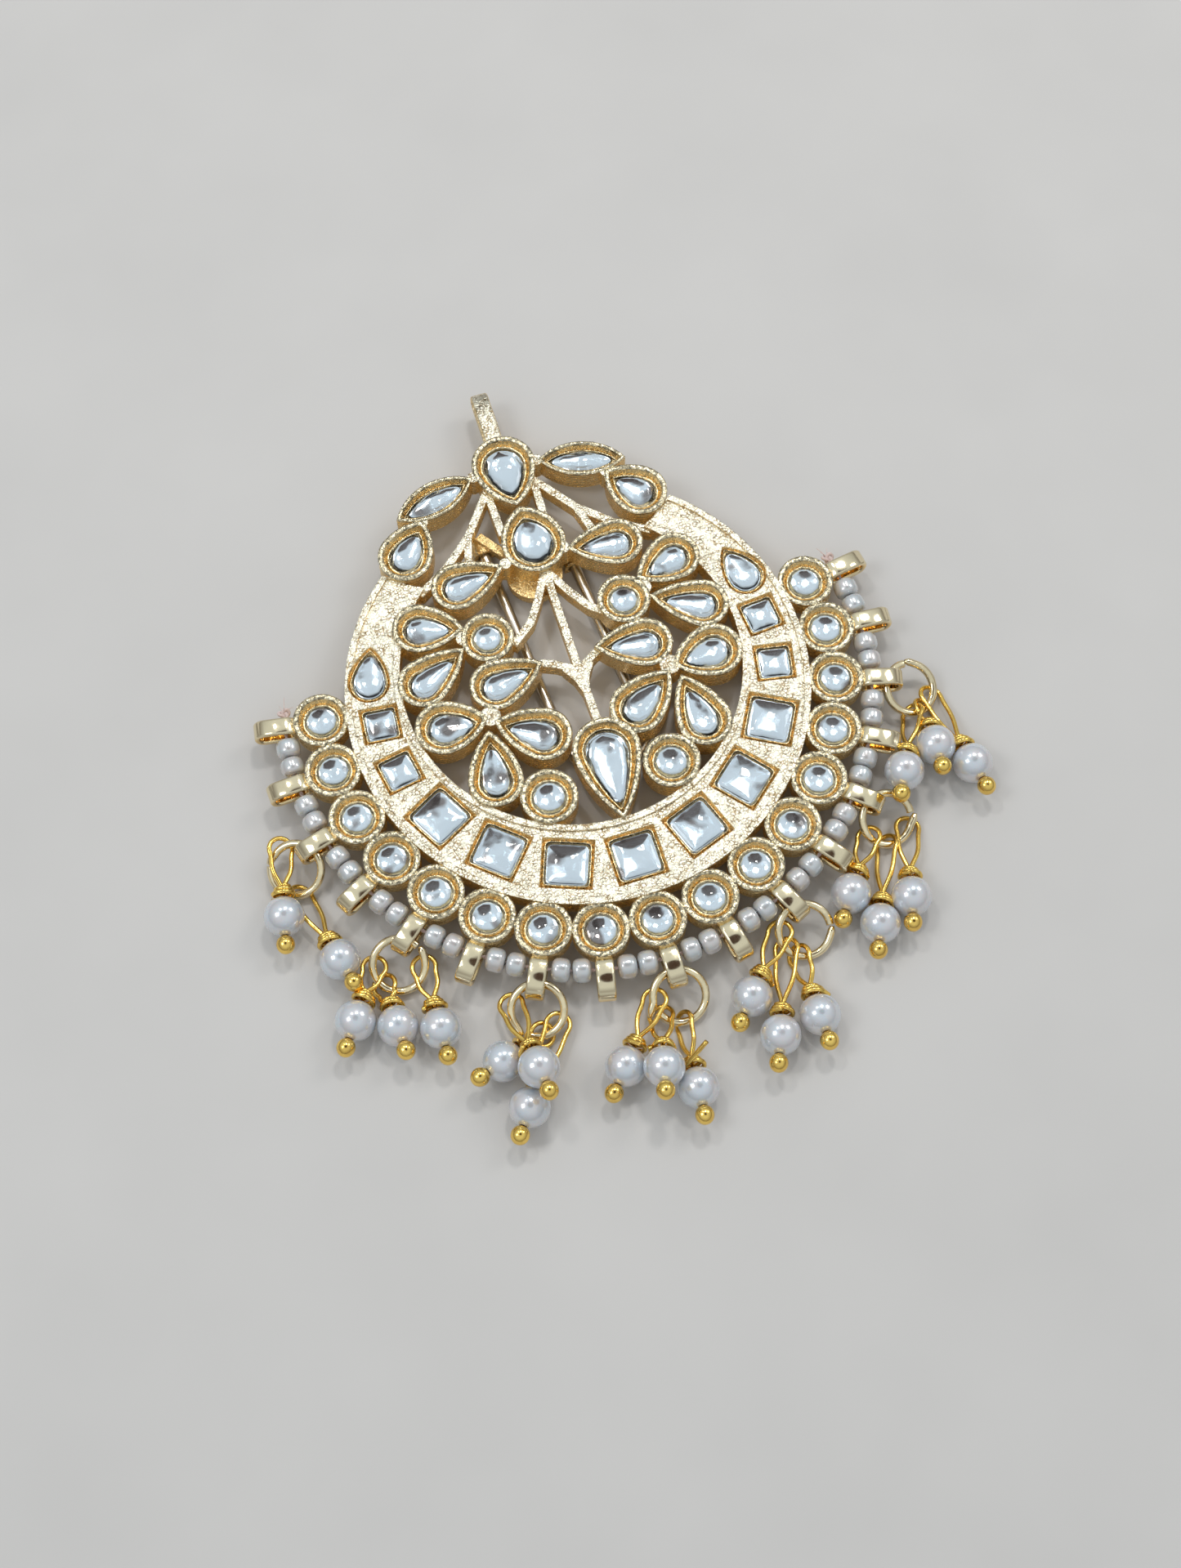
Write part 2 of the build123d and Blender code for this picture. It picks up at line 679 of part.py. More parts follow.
for index, (number, pins) in enumerate(pins_by_loop.items(), start=1):
    with BuildPart() as head_pins:
        for spot, hook, down, side, slant in pins:
            length = (spot - hook).length
            neck_pitch = head_wire * neck_pack
            neck_length = neck_turns * neck_pitch
            neck = length - flat_height - part_gap - neck_length
            far = eye_radius - (ring_wire / 2 + head_wire / 2 + eye_gap) / slant
            reach = max(neck - far, eye_reach_least * eye_radius)
            spread = asin(eye_radius / reach)
            eye_plane = Plane(origin=hook + down * neck, x_dir=down * -1, z_dir=side)
            with BuildLine(eye_plane) as eye_path:
                Line((0, 0), (reach - eye_radius * sin(spread), eye_radius * cos(spread)))
                ThreePointArc(
                    (reach - eye_radius * sin(spread), eye_radius * cos(spread)),
                    (reach + eye_radius, 0),
                    (reach - eye_radius * sin(spread), -eye_radius * cos(spread)),
                )
                Line((reach - eye_radius * sin(spread), -eye_radius * cos(spread)), (0, 0))
            with BuildSketch(Plane(origin=eye_path.line @ 0, z_dir=eye_path.line % 0)):
                Circle(head_wire / 2)
            sweep(path=eye_path.line, transition=Transition.ROUND)
            ball_middle = spot + down * (flat_height + part_gap + ball_diameter / 2)
            with BuildSketch(Plane(origin=hook + down * (neck - head_wire / 2), z_dir=down)):
                Circle(head_wire / 2)
            extrude(amount=(ball_middle - hook).length - neck + head_wire / 2)
            with Locations(ball_middle):
                Sphere(ball_diameter / 2)
            for step in range(neck_turns):
                turn_spot = hook + down * (neck + (step + 0.5) * neck_pitch)
                with Locations(Plane(origin=turn_spot, z_dir=down)):
                    Torus(neck_radius, head_wire / 2)
    head_pins.part.label = f"head_pins_{index}"
    export_step(head_pins.part, f"parts/head_pins_{index}.step")
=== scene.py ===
import bpy
import numpy as np
from mathutils import Matrix, Vector


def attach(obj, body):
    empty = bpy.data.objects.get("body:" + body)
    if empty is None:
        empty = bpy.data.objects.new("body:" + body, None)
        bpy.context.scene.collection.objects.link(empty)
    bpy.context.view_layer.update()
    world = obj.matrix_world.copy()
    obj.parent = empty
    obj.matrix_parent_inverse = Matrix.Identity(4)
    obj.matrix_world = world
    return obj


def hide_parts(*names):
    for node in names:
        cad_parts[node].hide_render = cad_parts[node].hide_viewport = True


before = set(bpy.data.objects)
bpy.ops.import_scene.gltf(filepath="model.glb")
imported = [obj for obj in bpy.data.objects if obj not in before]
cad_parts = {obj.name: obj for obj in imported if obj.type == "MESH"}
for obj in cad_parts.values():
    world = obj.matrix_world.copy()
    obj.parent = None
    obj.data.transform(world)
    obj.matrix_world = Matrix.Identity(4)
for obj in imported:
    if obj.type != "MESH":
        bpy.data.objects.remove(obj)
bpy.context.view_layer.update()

bl_info = {
    "name": "Hair bun brooch",
    "version": (1, 0, 0),
    "blender": (4, 5, 0),
    "location": "View3D > Sidebar > Brooch",
    "description": "Dresses a crescent hair bun brooch with stones, seed beads and pearl drops",
    "category": "Object",
}

MM = 0.001
ROOT = "root"

# Levels of the cast frame above the floor, in mm
RIM_LEVEL = 4.5
FIELD_LEVEL = 3.9
LEDGE_LEVEL = RIM_LEVEL - 0.9
BAND_LEDGE_LEVEL = FIELD_LEVEL - 0.45
SEAT_LEVEL = 2.7
LOOP_LEVEL = 2.7
# How much lower the outer round settings sit, in mm
ROUND_DROP = 0.6

# Outer round settings, each with a strap loop: distance and radius as shares of the band
# radius, count, number of the lowest one, turn from one to the next in degrees
ROUND_DISTANCE = 1.1073
ROUND_RADIUS = 0.1202
LOOP_COUNT = 17
LOWEST_LOOP = 9
LOOP_TURN = 12.36
# A strap loop in mm: start inside its setting's edge, thickness, length
LOOP_OVERLAP = 0.35
LOOP_STRAP = 0.55
LOOP_LENGTH = 4.4
# Outer diameter of a jump ring in mm
RING_DIAMETER = 5.9

# Thread: distance as a share of the band radius, turn past the end loops in degrees,
# distance of a ply from the middle, radius of a ply and rise of a turn in mm
THREAD_DISTANCE = 1.2665
THREAD_PAST = 3.2
PLY_OFFSET = 0.09
PLY_RADIUS = 0.10
PLY_PITCH = 1.1
KNOT_SIZE = 0.19
# Seed beads: turn from the middle between two loops in degrees, bore radius in mm,
# power of the sine that rounds them (1 is a ball, 0 a cylinder)
SEED_TURN = 1.95
SEED_BORE = 0.36
SEED_POWER = 0.62

# Pearls in mm: bore of the shown ones, flat ring round the bore of the solid ones
PEARL_BORE = 0.33
PEARL_FLAT = 0.6
# Head pins in mm: eye radius, swelling of its legs, clearance round the ring's wire before
# the eye is turned (turned, it can cut the ring), gap to the pearl, distance of the ball
# from the pearl, radius of the ball
PIN_EYE = 1.15
PIN_SWELL = 0.32
PIN_CLEARANCE = 0.34
PIN_GAP = 0.08
BALL_DISTANCE = 0.85
BALL_RADIUS = 0.92
# Turn of an eye round its pin, towards the viewer, in degrees
PIN_TWIST = 42.0

# Insets from a setting's outline in mm, and points round it
STONE_INSET, FOIL_INSET = 1.20, 1.27
BAND_STONE_INSET, BAND_FOIL_INSET = 0.42, 0.60
STONE_POINTS, FOIL_POINTS = 96, 48
# Spacing of the grains along a crest in mm
GRAIN_STEP = 0.26

# Colours of the finishes that have no property
LOOP_GOLD = (0.86, 0.75, 0.51)
VEIN_BROWN = (0.30, 0.22, 0.12)
CREST_GOLD = (0.95, 0.83, 0.57)
BEZEL_GOLD = (0.90, 0.74, 0.46)
RING_GOLD = (0.93, 0.79, 0.51)
GLASS_CLEAR = (0.96, 0.98, 1.0)
# Dark patches on the foil: partly tarnish, partly painted dark reflection
FOIL_TARNISH_AND_DARK_REFLECTION = (0.30, 0.26, 0.24)
THREAD_PALE, THREAD_DARK = (0.80, 0.66, 0.62), (0.62, 0.46, 0.42)
DOME_LOW, DOME_HIGH, DOME_PATCH = (0.30, 0.29, 0.28), (0.86, 0.92, 0.96), (0.09, 0.06, 0.05)

# Camera: focal length and height of the photo in pixels, sensor in mm, turn as an axis
# times an angle, shift in mm
PHOTO_FOCAL, PHOTO_HEIGHT, SENSOR = 2800.0, 1919.0, 36.0
CAMERA_TURN = (2.7355220915692406, -0.4218585188920924, 0.0733668291041045)
CAMERA_SHIFT = (-1.2543829186456765, -8.58823806782777, 232.3889176108726)

# Layout of the settings as shares of the band radius:
# tip x, tip y, round centre x, round centre y, radius
AXIS_PEARS = {
    "top_pear_stone": (0.0, 0.895, 0.0, 1.112, 0.1417),
    "second_pear_stone": (0.006, 0.886, 0.016, 0.6975, 0.142),
    "centre_pear_stone": (0.0, -0.655, 0.024, -0.335, 0.146),
}
SHOULDER_PEARS = [(0.419, 0.946, 0.541, 0.803, 0.120)]
LEAF_PEARS = [
    (0.146, 0.627, 0.367, 0.592, 0.1116),
    (0.392, 0.390, 0.582, 0.449, 0.1137),
    (0.420, 0.298, 0.631, 0.193, 0.1116),
]
PETAL_PEARS = [
    (0.116, 0.136, 0.339, 0.090, 0.1137),
    (0.414, -0.047, 0.607, -0.032, 0.1223),
    (0.395, -0.069, 0.208, -0.189, 0.1200),
    (0.430, -0.102, 0.4635, -0.3305, 0.1180),
]
BAND_PEAR = (0.802, 0.438, 0.854, 0.275, 0.0923)
# Centre x, centre y, radius
INNER_ROUNDS = [(0.309, 0.318, 0.115), (0.2704, -0.4657, 0.1223)]
# Inner tip x, y, outer tip x, y, half width
MARQUISE = (0.152, 1.086, 0.529, 0.983, 0.086)
# Turn from the bottom in degrees, distance, side
SQUARES = [
    (0.0, 0.819, 0.223),
    (20.4, 0.819, 0.223),
    (40.9, 0.826, 0.223),
    (61.1, 0.837, 0.223),
    (79.5, 0.853, 0.173),
    (95.0, 0.860, 0.169),
]

# Loop, swing, tilt and roll in degrees, place of the wire along the loop,
# turn of the cut in degrees, lift of the cut end in mm
JUMP_RINGS = [
    (3, 15, 24, -8, 0.59, -60, 0.25),
    (5, 14, 24, -6, 0.58, 150, 0.15),
    (7, 10, 22, 4, 0.55, -30, 0.30),
    (9, -5, 24, 0, 0.51, -62, 0.95),
    (11, -15, 24, 6, 0.59, 75, 0.15),
    (13, -15, 24, 8, 0.59, 55, 0.45),
    (15, -14, 20, 10, 0.59, 120, 0.20),
]

# Loop, turn from the loop in degrees, distance as a share of the band radius, height as
# a share of the pearl, place of the eye on the ring, turns of the wrap, length of its tail in mm
PEARLS = [
    (3, 6.7, 1.592, 0.55, -105, 2.6, 0.5),
    (3, 17.7, 1.557, 0.54, 49, 3.1, 0.5),
    (5, 0.3, 1.727, 0.51, -61, 2.7, 0.9),
    (5, 5.8, 1.662, 0.50, -16, 2.4, 0.6),
    (5, 11.6, 1.603, 0.53, 95, 2.8, 0.5),
    (7, -3.1, 1.668, 0.51, 2, 2.3, 0.6),
    (7, 2.1, 1.700, 1.14, -103, 2.8, 0.7),
    (7, 1.3, 1.842, 0.51, 43, 2.4, 0.6),
    (9, -10.7, 1.674, 0.50, -88, 2.5, 0.9),
    (9, -5.7, 1.722, 0.99, -55, 2.9, 0.6),
    (9, -1.8, 1.818, 0.50, -2, 2.4, 3.2),
    (11, -14.6, 1.545, 0.51, -105, 2.6, 0.6),
    (11, -13.8, 1.743, 0.54, -69, 2.4, 0.6),
    (11, -7.7, 1.754, 0.50, -37, 2.7, 0.8),
    (13, -15.9, 1.468, 0.51, -95, 2.6, 0.6),
    (13, -16.9, 1.642, 0.51, -48, 3.0, 0.8),
    (13, -10.9, 1.679, 0.53, 11, 2.5, 0.6),
    (15, -17.5, 1.439, 0.81, -69, 2.4, 0.6),
    (15, -11.4, 1.550, 0.65, -38, 2.8, 0.6),
    (15, -13.0, 1.717, 0.52, -4, 2.6, 0.7),
]


def length(name, description, default):
    """A size property in metres."""
    return bpy.props.FloatProperty(
        name=name, description=description, default=default, unit="LENGTH"
    )


def tint(name, description, default):
    """A colour property."""
    return bpy.props.FloatVectorProperty(
        name=name, description=description, default=default, subtype="COLOR"
    )


class BroochSizes(bpy.types.PropertyGroup):
    """Sizes in metres that the dressing pieces are worked out from"""

    band_radius: length("Band radius", "Outer radius of the crescent", 0.0233)
    rim_width: length("Rim width", "Width of a collet's crest", 0.00060)
    rim_rise: length("Rim rise", "Height of the rounded crest", 0.00019)
    grain: length("Grain", "Height of the grains along a crest", 0.00006)
    bezel: length("Bezel", "Thickness of the thin inner bezel", 0.00032)
    seed_diameter: length("Seed bead", "Diameter of a seed bead", 0.00248)
    seed_length: length("Seed bead length", "Length of a seed bead", 0.00197)
    pearl_diameter: length("Pearl", "Diameter of a pearl", 0.0040)
    head_wire: length("Head pin wire", "Thickness of the drops' wire", 0.00048)
    ring_wire: length("Jump ring wire", "Thickness of a jump ring", 0.0008)


class BroochColours(bpy.types.PropertyGroup):
    """Colours of the finishes"""

    gold: tint("Pale gold", "Plating of the cast frame", (1.0, 0.945, 0.76))
    # Painted shade: the deeper gold that the frame's walls and hollows are coloured with
    painted_shade_gold: tint("Deep gold", "Painted shade on the walls and in the settings", (0.84, 0.62, 0.30))
    wire: tint("Yellow gold", "Plating of the head pins", (1.0, 0.66, 0.17))
    steel: tint("Pin steel", "Metal of the hair pin", (0.62, 0.56, 0.48))
    pearl: tint("Pearl", "Body colour of the pearls", (0.68, 0.69, 0.71))
    seed: tint("Seed bead", "Body colour of the seed beads", (0.62, 0.62, 0.61))
    foil: tint("Foil", "Backing under the stones", (0.89, 0.96, 0.99))
    floor: tint("Floor", "Plain pale floor", (0.62, 0.60, 0.58))


# Mesh building


def grid_faces(rows, columns, close_rows=True):
    """Quads between neighbours of a grid of points, wrapping round where it is closed."""
    row = np.arange(rows if close_rows else rows - 1)[:, None]
    column = np.arange(columns)[None, :]
    row_next = (row + 1) % rows
    column_next = (column + 1) % columns
    corners = [
        row * columns + column,
        row * columns + column_next,
        row_next * columns + column_next,
        row_next * columns + column,
    ]
    return np.stack(np.broadcast_arrays(*corners), axis=-1).reshape(-1, 4)


def closed_strip(points):
    """A grid closed both ways: a profile carried round a closed path."""
    rows, columns = points.shape[:2]
    return points.reshape(-1, 3), [grid_faces(rows, columns)]


def capped_strip(points):
    """A grid closed across its columns, each end shut by a fan to the middle of its last row."""
    rows, columns = points.shape[:2]
    vertices = points.reshape(-1, 3)
    vertices = np.concatenate([vertices, points[:1].mean(axis=1), points[-1:].mean(axis=1)])
    first, last = rows * columns, rows * columns + 1
    place = np.arange(columns)
    after = (place + 1) % columns
    bottom = (rows - 1) * columns
    low = np.stack([np.full(columns, first), after, place], axis=-1)
    high = np.stack([np.full(columns, last), bottom + place, bottom + after], axis=-1)
    return vertices, [grid_faces(rows, columns, close_rows=False), low, high]


def outward(vertices, faces):
    """Turns the faces over if the sum of the corner volumes against the origin is negative."""
    volume = 0.0
    for group in faces:
        a = vertices[group[:, 0]]
        for step in range(1, group.shape[1] - 1):
            b, c = vertices[group[:, step]], vertices[group[:, step + 1]]
            volume += np.einsum("ij,ij->i", a, np.cross(b, c)).sum()
    return faces if volume > 0 else [group[:, ::-1] for group in faces]


def joined(parts):
    """Stacks closed shells into one set of vertices and faces, each turned outward first."""
    vertices, faces, count = [], [], 0
    for points, groups in parts:
        centred = points - points.mean(axis=0)
        faces.extend(group + count for group in outward(centred, groups))
        vertices.append(points)
        count += len(points)
    return np.concatenate(vertices), faces


def piece(name, parts, finish, slot_name, *stands_for):
    """Makes one object from closed shells given in mm, with its finish, under the root, and hides
    the CAD nodes it stands for.
    """
    vertices, faces = joined(parts)
    mesh = bpy.data.meshes.new(name)
    mesh.vertices.add(len(vertices))
    mesh.vertices.foreach_set("co", (vertices * MM).astype(np.float32).ravel())
    sizes = np.concatenate([np.full(len(group), group.shape[1]) for group in faces])
    mesh.loops.add(int(sizes.sum()))
    mesh.loops.foreach_set("vertex_index", np.concatenate([group.ravel() for group in faces]))
    mesh.polygons.add(len(sizes))
    mesh.polygons.foreach_set("loop_start", np.concatenate([[0], np.cumsum(sizes)[:-1]]))
    mesh.polygons.foreach_set("use_smooth", np.ones(len(sizes), dtype=bool))
    mesh.update(calc_edges=True)
    mesh.materials.append(finish)
    shape = bpy.data.objects.new(name, mesh)
    bpy.context.collection.objects.link(shape)
    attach(shape, ROOT)
    if stands_for:
        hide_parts(*stands_for)
    return shape


def unit(vectors):
    """The vectors at length 1."""
    return vectors / np.linalg.norm(vectors, axis=-1, keepdims=True)


def flat(radius, angle, level=0.0):
    """The point at a distance and a turn in degrees round the origin, at a level."""
    turn = np.radians(angle)
    return np.array([radius * np.cos(turn), radius * np.sin(turn), level])


def even_turns(count):
    """Angles of a full turn in even steps, in radians."""
    return np.linspace(0.0, 2 * np.pi, count, endpoint=False)


def rays(angles, first, second):
    """cos a times the first direction plus sin a times the second, for each angle a."""
    return np.cos(angles)[..., None] * first + np.sin(angles)[..., None] * second


def tube(path, radius, reference, sides):
    """A circle carried along a path; its two spokes are square to the path and the reference."""
    along = unit(np.gradient(path, axis=0))
    spoke = unit(np.cross(along, np.broadcast_to(reference, path.shape)))
    ring = rays(even_turns(sides), spoke[:, None], np.cross(spoke, along)[:, None])
    return capped_strip(path[:, None] + np.broadcast_to(radius, len(path))[:, None, None] * ring)


def lathe(centre, axis, along, radius, sides):
    """A profile of heights along an axis and distances from it, turned round the axis."""
    axis = unit(axis)
    helper = np.array([1.0, 0.0, 0.0]) if abs(axis[0]) < 0.8 else np.array([0.0, 1.0, 0.0])
    first = unit(np.cross(axis, helper))
    ring = rays(even_turns(sides), first, np.cross(axis, first))
    return centre + along[:, None, None] * axis + radius[:, None, None] * ring


def heading(angles):
    """Unit vectors in the plane at angles in radians."""
    return np.stack([np.cos(angles), np.sin(angles)], axis=-1)


# Outlines of the settings, in mm, as closed rings of points


def pear_outline(row, inset, count):
    """Side arc, round back, side arc: each arc's points at even turns round its hub."""
    tip, eye = np.array(row[0:2]), np.array(row[2:4])
    radius = row[4] - inset
    reach = np.hypot(*(tip - eye)) - 1.1 * inset
    facing = np.arctan2(*(tip - eye)[::-1])
    turn = np.radians(80.0)
    side = (reach**2 + radius**2 - 2 * radius * reach * np.cos(turn)) / (
        2 * (radius - reach * np.cos(turn))
    )
    point = eye + reach * heading(facing)
    side_count = int(0.3 * count)
    back_count = count - 2 * side_count
    runs = []
    for hand in (1, 0, -1):
        if hand == 0:
            angles = facing + np.linspace(turn, 2 * np.pi - turn, back_count, endpoint=False)
            runs.append(eye + radius * heading(angles))
            continue
        out = heading(facing + hand * turn)
        hub = eye + out * (radius - side)
        shoulder = np.arctan2(*out[::-1])
        end = np.arctan2(*(point - hub)[::-1])
        span = (shoulder - end + np.pi) % (2 * np.pi) - np.pi
        share = np.linspace(0.0, 1.0, side_count, endpoint=False)
        angles = end + span * share if hand > 0 else shoulder - span * share
        runs.append(hub + side * heading(angles))
    return np.concatenate(runs)


def marquise_outline(row, inset, count):
    """Two equal arcs that meet in two points; each arc's points at even turns round its hub."""
    inset = inset * 0.75
    start, end = np.array(row[0:2]), np.array(row[2:4])
    along = unit(end - start)
    across = np.array([-along[1], along[0]])
    pull = inset * row[4] / (row[4] - 0.45 * inset)
    start, end = start + along * pull, end - along * pull
    half, reach = row[4] - inset, np.hypot(*(end - start)) / 2
    radius = (half**2 + reach**2) / (2 * half)
    middle = (start + end) / 2
    widest = np.arcsin(min(1.0, reach / radius))
    angles = np.linspace(-widest, widest, count // 2, endpoint=False)
    arc = rays(angles, across, along)
    return np.concatenate(
        [middle - hand * across * (radius - half) + radius * (hand * arc) for hand in (1, -1)]
    )


def round_outline(row, inset, count):
    """A circle's points at even turns."""
    return np.array(row[0:2]) + (row[2] - inset) * heading(even_turns(count))


def square_outline(row, inset, count):
    """Soft corners: x = sign(cos a) |cos a|^p and y the same of sin a, at even angles a."""
    side, turn = row[2:]
    ray = heading(even_turns(count) + np.pi / 4)
    power = 2.0 / (2.0 + 1.0 / 0.25**1.5)
    square = np.sign(ray) * abs(ray) ** power * (side / 2 - inset)
    rotation = np.array([[np.cos(turn), np.sin(turn)], [-np.sin(turn), np.cos(turn)]])
    return np.array(row[0:2]) + square @ rotation


# Share of its girth over which a stone's outline is rounded, at tips and corners
SOFT_TIPS = {pear_outline: 0.07, marquise_outline: 0.06, square_outline: 0.02}


def scaled(sizes, *rows):
    """Rows of shares of the band radius, in mm."""
    radius = sizes.band_radius / MM
    return [tuple(value * radius for value in row) for row in rows]


def both_hands(rows, mirror_places=(0, 2)):
    """The rows and their mirror images across the upright axis."""
    return list(rows) + [
        tuple(-value if place in mirror_places else value for place, value in enumerate(row))
        for row in rows
    ]


def layout(sizes):
    """All settings in mm as (outline, row, drop of the rim), by the name of their stones."""
    groups = {}
    for name, row in AXIS_PEARS.items():
        groups[name] = [(pear_outline, scaled(sizes, row)[0], 0.0)]
    for name, outline, rows, mirror_places in (
        ("leaf_stones", pear_outline, LEAF_PEARS, (0, 2)),
        ("petal_stones", pear_outline, PETAL_PEARS, (0, 2)),
        ("shoulder_stones", pear_outline, SHOULDER_PEARS, (0, 2)),
        ("shoulder_stones", marquise_outline, [MARQUISE], (0, 2)),
        ("inner_round_stones", round_outline, INNER_ROUNDS, (0,)),
    ):
        members = both_hands(scaled(sizes, *rows), mirror_places)
        groups.setdefault(name, []).extend((outline, row, 0.0) for row in members)
    distance, radius = scaled(sizes, (ROUND_DISTANCE, ROUND_RADIUS))[0]
    groups["outer_round_stones"] = [
        (round_outline, (*flat(distance, loop_angle(number))[:2], radius), ROUND_DROP)
        for number in range(1, LOOP_COUNT + 1)
    ]
    return groups


def square_places(sizes):
    """Centre x, y, side and turn of the band's squares in mm and radians, left to right."""
    radius = sizes.band_radius / MM
    turns = sorted({(hand * turn, *rest) for turn, *rest in SQUARES for hand in (1, -1)})
    return [
        (*flat(distance * radius, turn - 90.0)[:2], side * radius, np.radians(turn))
        for turn, distance, side in turns
    ]


def loop_angle(number):
    """Turn of a strap loop in degrees."""
    return -90.0 + (number - LOWEST_LOOP) * LOOP_TURN


def grains(count, amount, seed):
    """Uneven grains along a path: random heights with every second one low."""
    random = np.random.default_rng(seed)
    return amount * (random.random(count) * 1.2 - 0.6 + 0.45 * (-1.0) ** np.arange(count))


def collet_ring(outline, row, profile, count, amount, seed):
    """Profile point (inset, level) i at place j is the outline drawn at that inset, place j.

    The grain moves each point along the line from the next outline inside it, and up.
    """
    rough = grains(count, amount, seed)
    step = 0.05
    rings = []
    for inset, level, share in profile:
        here = outline(row, inset, count)
        inner = outline(row, inset + step, count)
        moved = here + (here - inner) / step * (rough * share * 0.5)[:, None]
        rings.append(np.column_stack([moved, np.full(count, level) + rough * share]))
    return closed_strip(np.stack(rings))


def softened(points, reach):
    """Each point of a closed line becomes the mean of its neighbours within reach places."""
    return np.mean([np.roll(points, shift, axis=0) for shift in range(-reach, reach + 1)], axis=0)


def stone_shell(outline, row, inset, levels, count, facets):
    """Rings that shrink from the girdle to the table, first faceted, then ever rounder.

    Ring k is centre + share k of an edge, mixed from the outline and a polygon by the facet
    weight, and then from that and a circle of the same mean radius by the roundness.
    """
    centre = stone_centre(outline, row)
    soften = int(SOFT_TIPS.get(outline, 0.0) * count)
    smooth = softened(outline(row, inset, count), soften)
    picks = (np.arange(facets) * count / facets).astype(int)
    corners = smooth[picks]
    corner_turn = np.append(picks, count) / count
    turn = np.arange(count) / count
    closed = np.concatenate([corners, corners[:1]])
    flat_sided = np.column_stack([np.interp(turn, corner_turn, closed[:, axis]) for axis in (0, 1)])
    away = smooth - centre
    reach = np.linalg.norm(away, axis=1, keepdims=True)
    circle = centre + away / reach * reach.mean()
    rings = []
    for share, level, weight, roundness in levels:
        edge = (1 - weight) * smooth + weight * flat_sided
        edge = (1 - roundness) * edge + roundness * circle
        rings.append(np.column_stack([centre + share * (edge - centre), np.full(count, level)]))
    return capped_strip(np.stack(rings))


def ring_frames(sizes):
    """By loop: a jump ring's centre, outward and across directions, radius, cut and lift."""
    wire = sizes.ring_wire / MM
    start = (ROUND_DISTANCE + ROUND_RADIUS) * sizes.band_radius / MM - LOOP_OVERLAP
    reach = (RING_DIAMETER - wire) / 2
    frames = {}
    for number, swing, tilt, roll, place, cut, lift in JUMP_RINGS:
        angle = loop_angle(number)
        opening = place * (LOOP_LENGTH - 2 * LOOP_STRAP)
        hold = flat(start + LOOP_STRAP + opening + wire / 2, angle, LOOP_LEVEL)
        facing = flat(1.0, angle + swing)
        across = flat(1.0, angle + swing + 90.0)
        tilt, roll = np.radians(tilt), np.radians(roll)
        out = facing * np.cos(tilt) - np.array([0.0, 0.0, 1.0]) * np.sin(tilt)
        across = across * np.cos(roll) + np.cross(out, across) * np.sin(roll)
        frames[number] = (hold + out * reach, out, across, reach, cut, lift)
    return frames


def drop_frames(sizes):
    """For each pearl: its loop, middle, hook on the ring, pin directions, slant, wraps, tail."""
    rings = ring_frames(sizes)
    drops = []
    for number, turn, distance, height, eye_turn, wraps, tail in PEARLS:
        centre, out, across, reach, _, _ = rings[number]
        distance = distance * (sizes.band_radius / MM)
        spot = flat(distance, loop_angle(number) + turn, height * sizes.pearl_diameter / MM)
        eye = np.radians(eye_turn)
        hook = centre + rays(eye, out, across) * reach
        wire_way = across * np.cos(eye) - out * np.sin(eye)
        down = unit(spot - hook)
        side = unit(wire_way - down * np.dot(wire_way, down))
        drops.append((number, spot, hook, down, side, float(np.dot(wire_way, side)), wraps, tail))
    return drops


# Finishes


class Graph:
    """A node tree; an input is given as a socket to link or as a fixed value."""

    def __init__(self, tree):
        self.nodes, self.links = tree.nodes, tree.links

    def feed(self, target, value):
        """Links a socket to an input or sets a fixed value on it."""
        if isinstance(value, bpy.types.NodeSocket):
            self.links.new(value, target)
        elif target.type == "RGBA":
            target.default_value = (*value, 1.0)
        else:
            target.default_value = value

    def add(self, kind, inputs):
        """Adds a node and feeds its inputs by name."""
        node = self.nodes.new("ShaderNode" + kind)
        for name, value in inputs.items():
            self.feed(node.inputs[name], value)
        return node

    def spread(self, value, low, high, to_low=0.0, to_high=1.0):
        """Carries a value from one range to another and holds it at both ends."""
        ends = {"From Min": low, "From Max": high, "To Min": to_low, "To Max": to_high}
        return self.add("MapRange", {"Value": value, **ends}).outputs["Result"]

    def math(self, operation, *values):
        """The result of a math node."""
        node = self.nodes.new("ShaderNodeMath")
        node.operation = operation
        for target, value in zip(node.inputs, values):
            self.feed(target, value)
        return node.outputs["Value"]

    def product(self, *values):
        """All the values multiplied."""
        result = values[0]
        for value in values[1:]:
            result = self.math("MULTIPLY", result, value)
        return result

    def vectors(self, operation, *values, scale=None):
        """The result of a vector math node."""
        node = self.nodes.new("ShaderNodeVectorMath")
        node.operation = operation
        for target, value in zip(node.inputs, values):
            self.feed(target, value)
        if scale is not None:
            self.feed(node.inputs["Scale"], scale)
        return node.outputs["Value" if operation in ("LENGTH", "DOT_PRODUCT") else "Vector"]

    def blend(self, factor, first, second):
        """Mixes two colours by a factor."""
        node = self.nodes.new("ShaderNodeMix")
        node.data_type = "RGBA"
        self.feed(node.inputs["Factor"], factor)
        targets = [item for item in node.inputs if item.type == "RGBA"]
        for target, colour in zip(targets, (first, second)):
            self.feed(target, colour)
        return [item for item in node.outputs if item.type == "RGBA"][0]


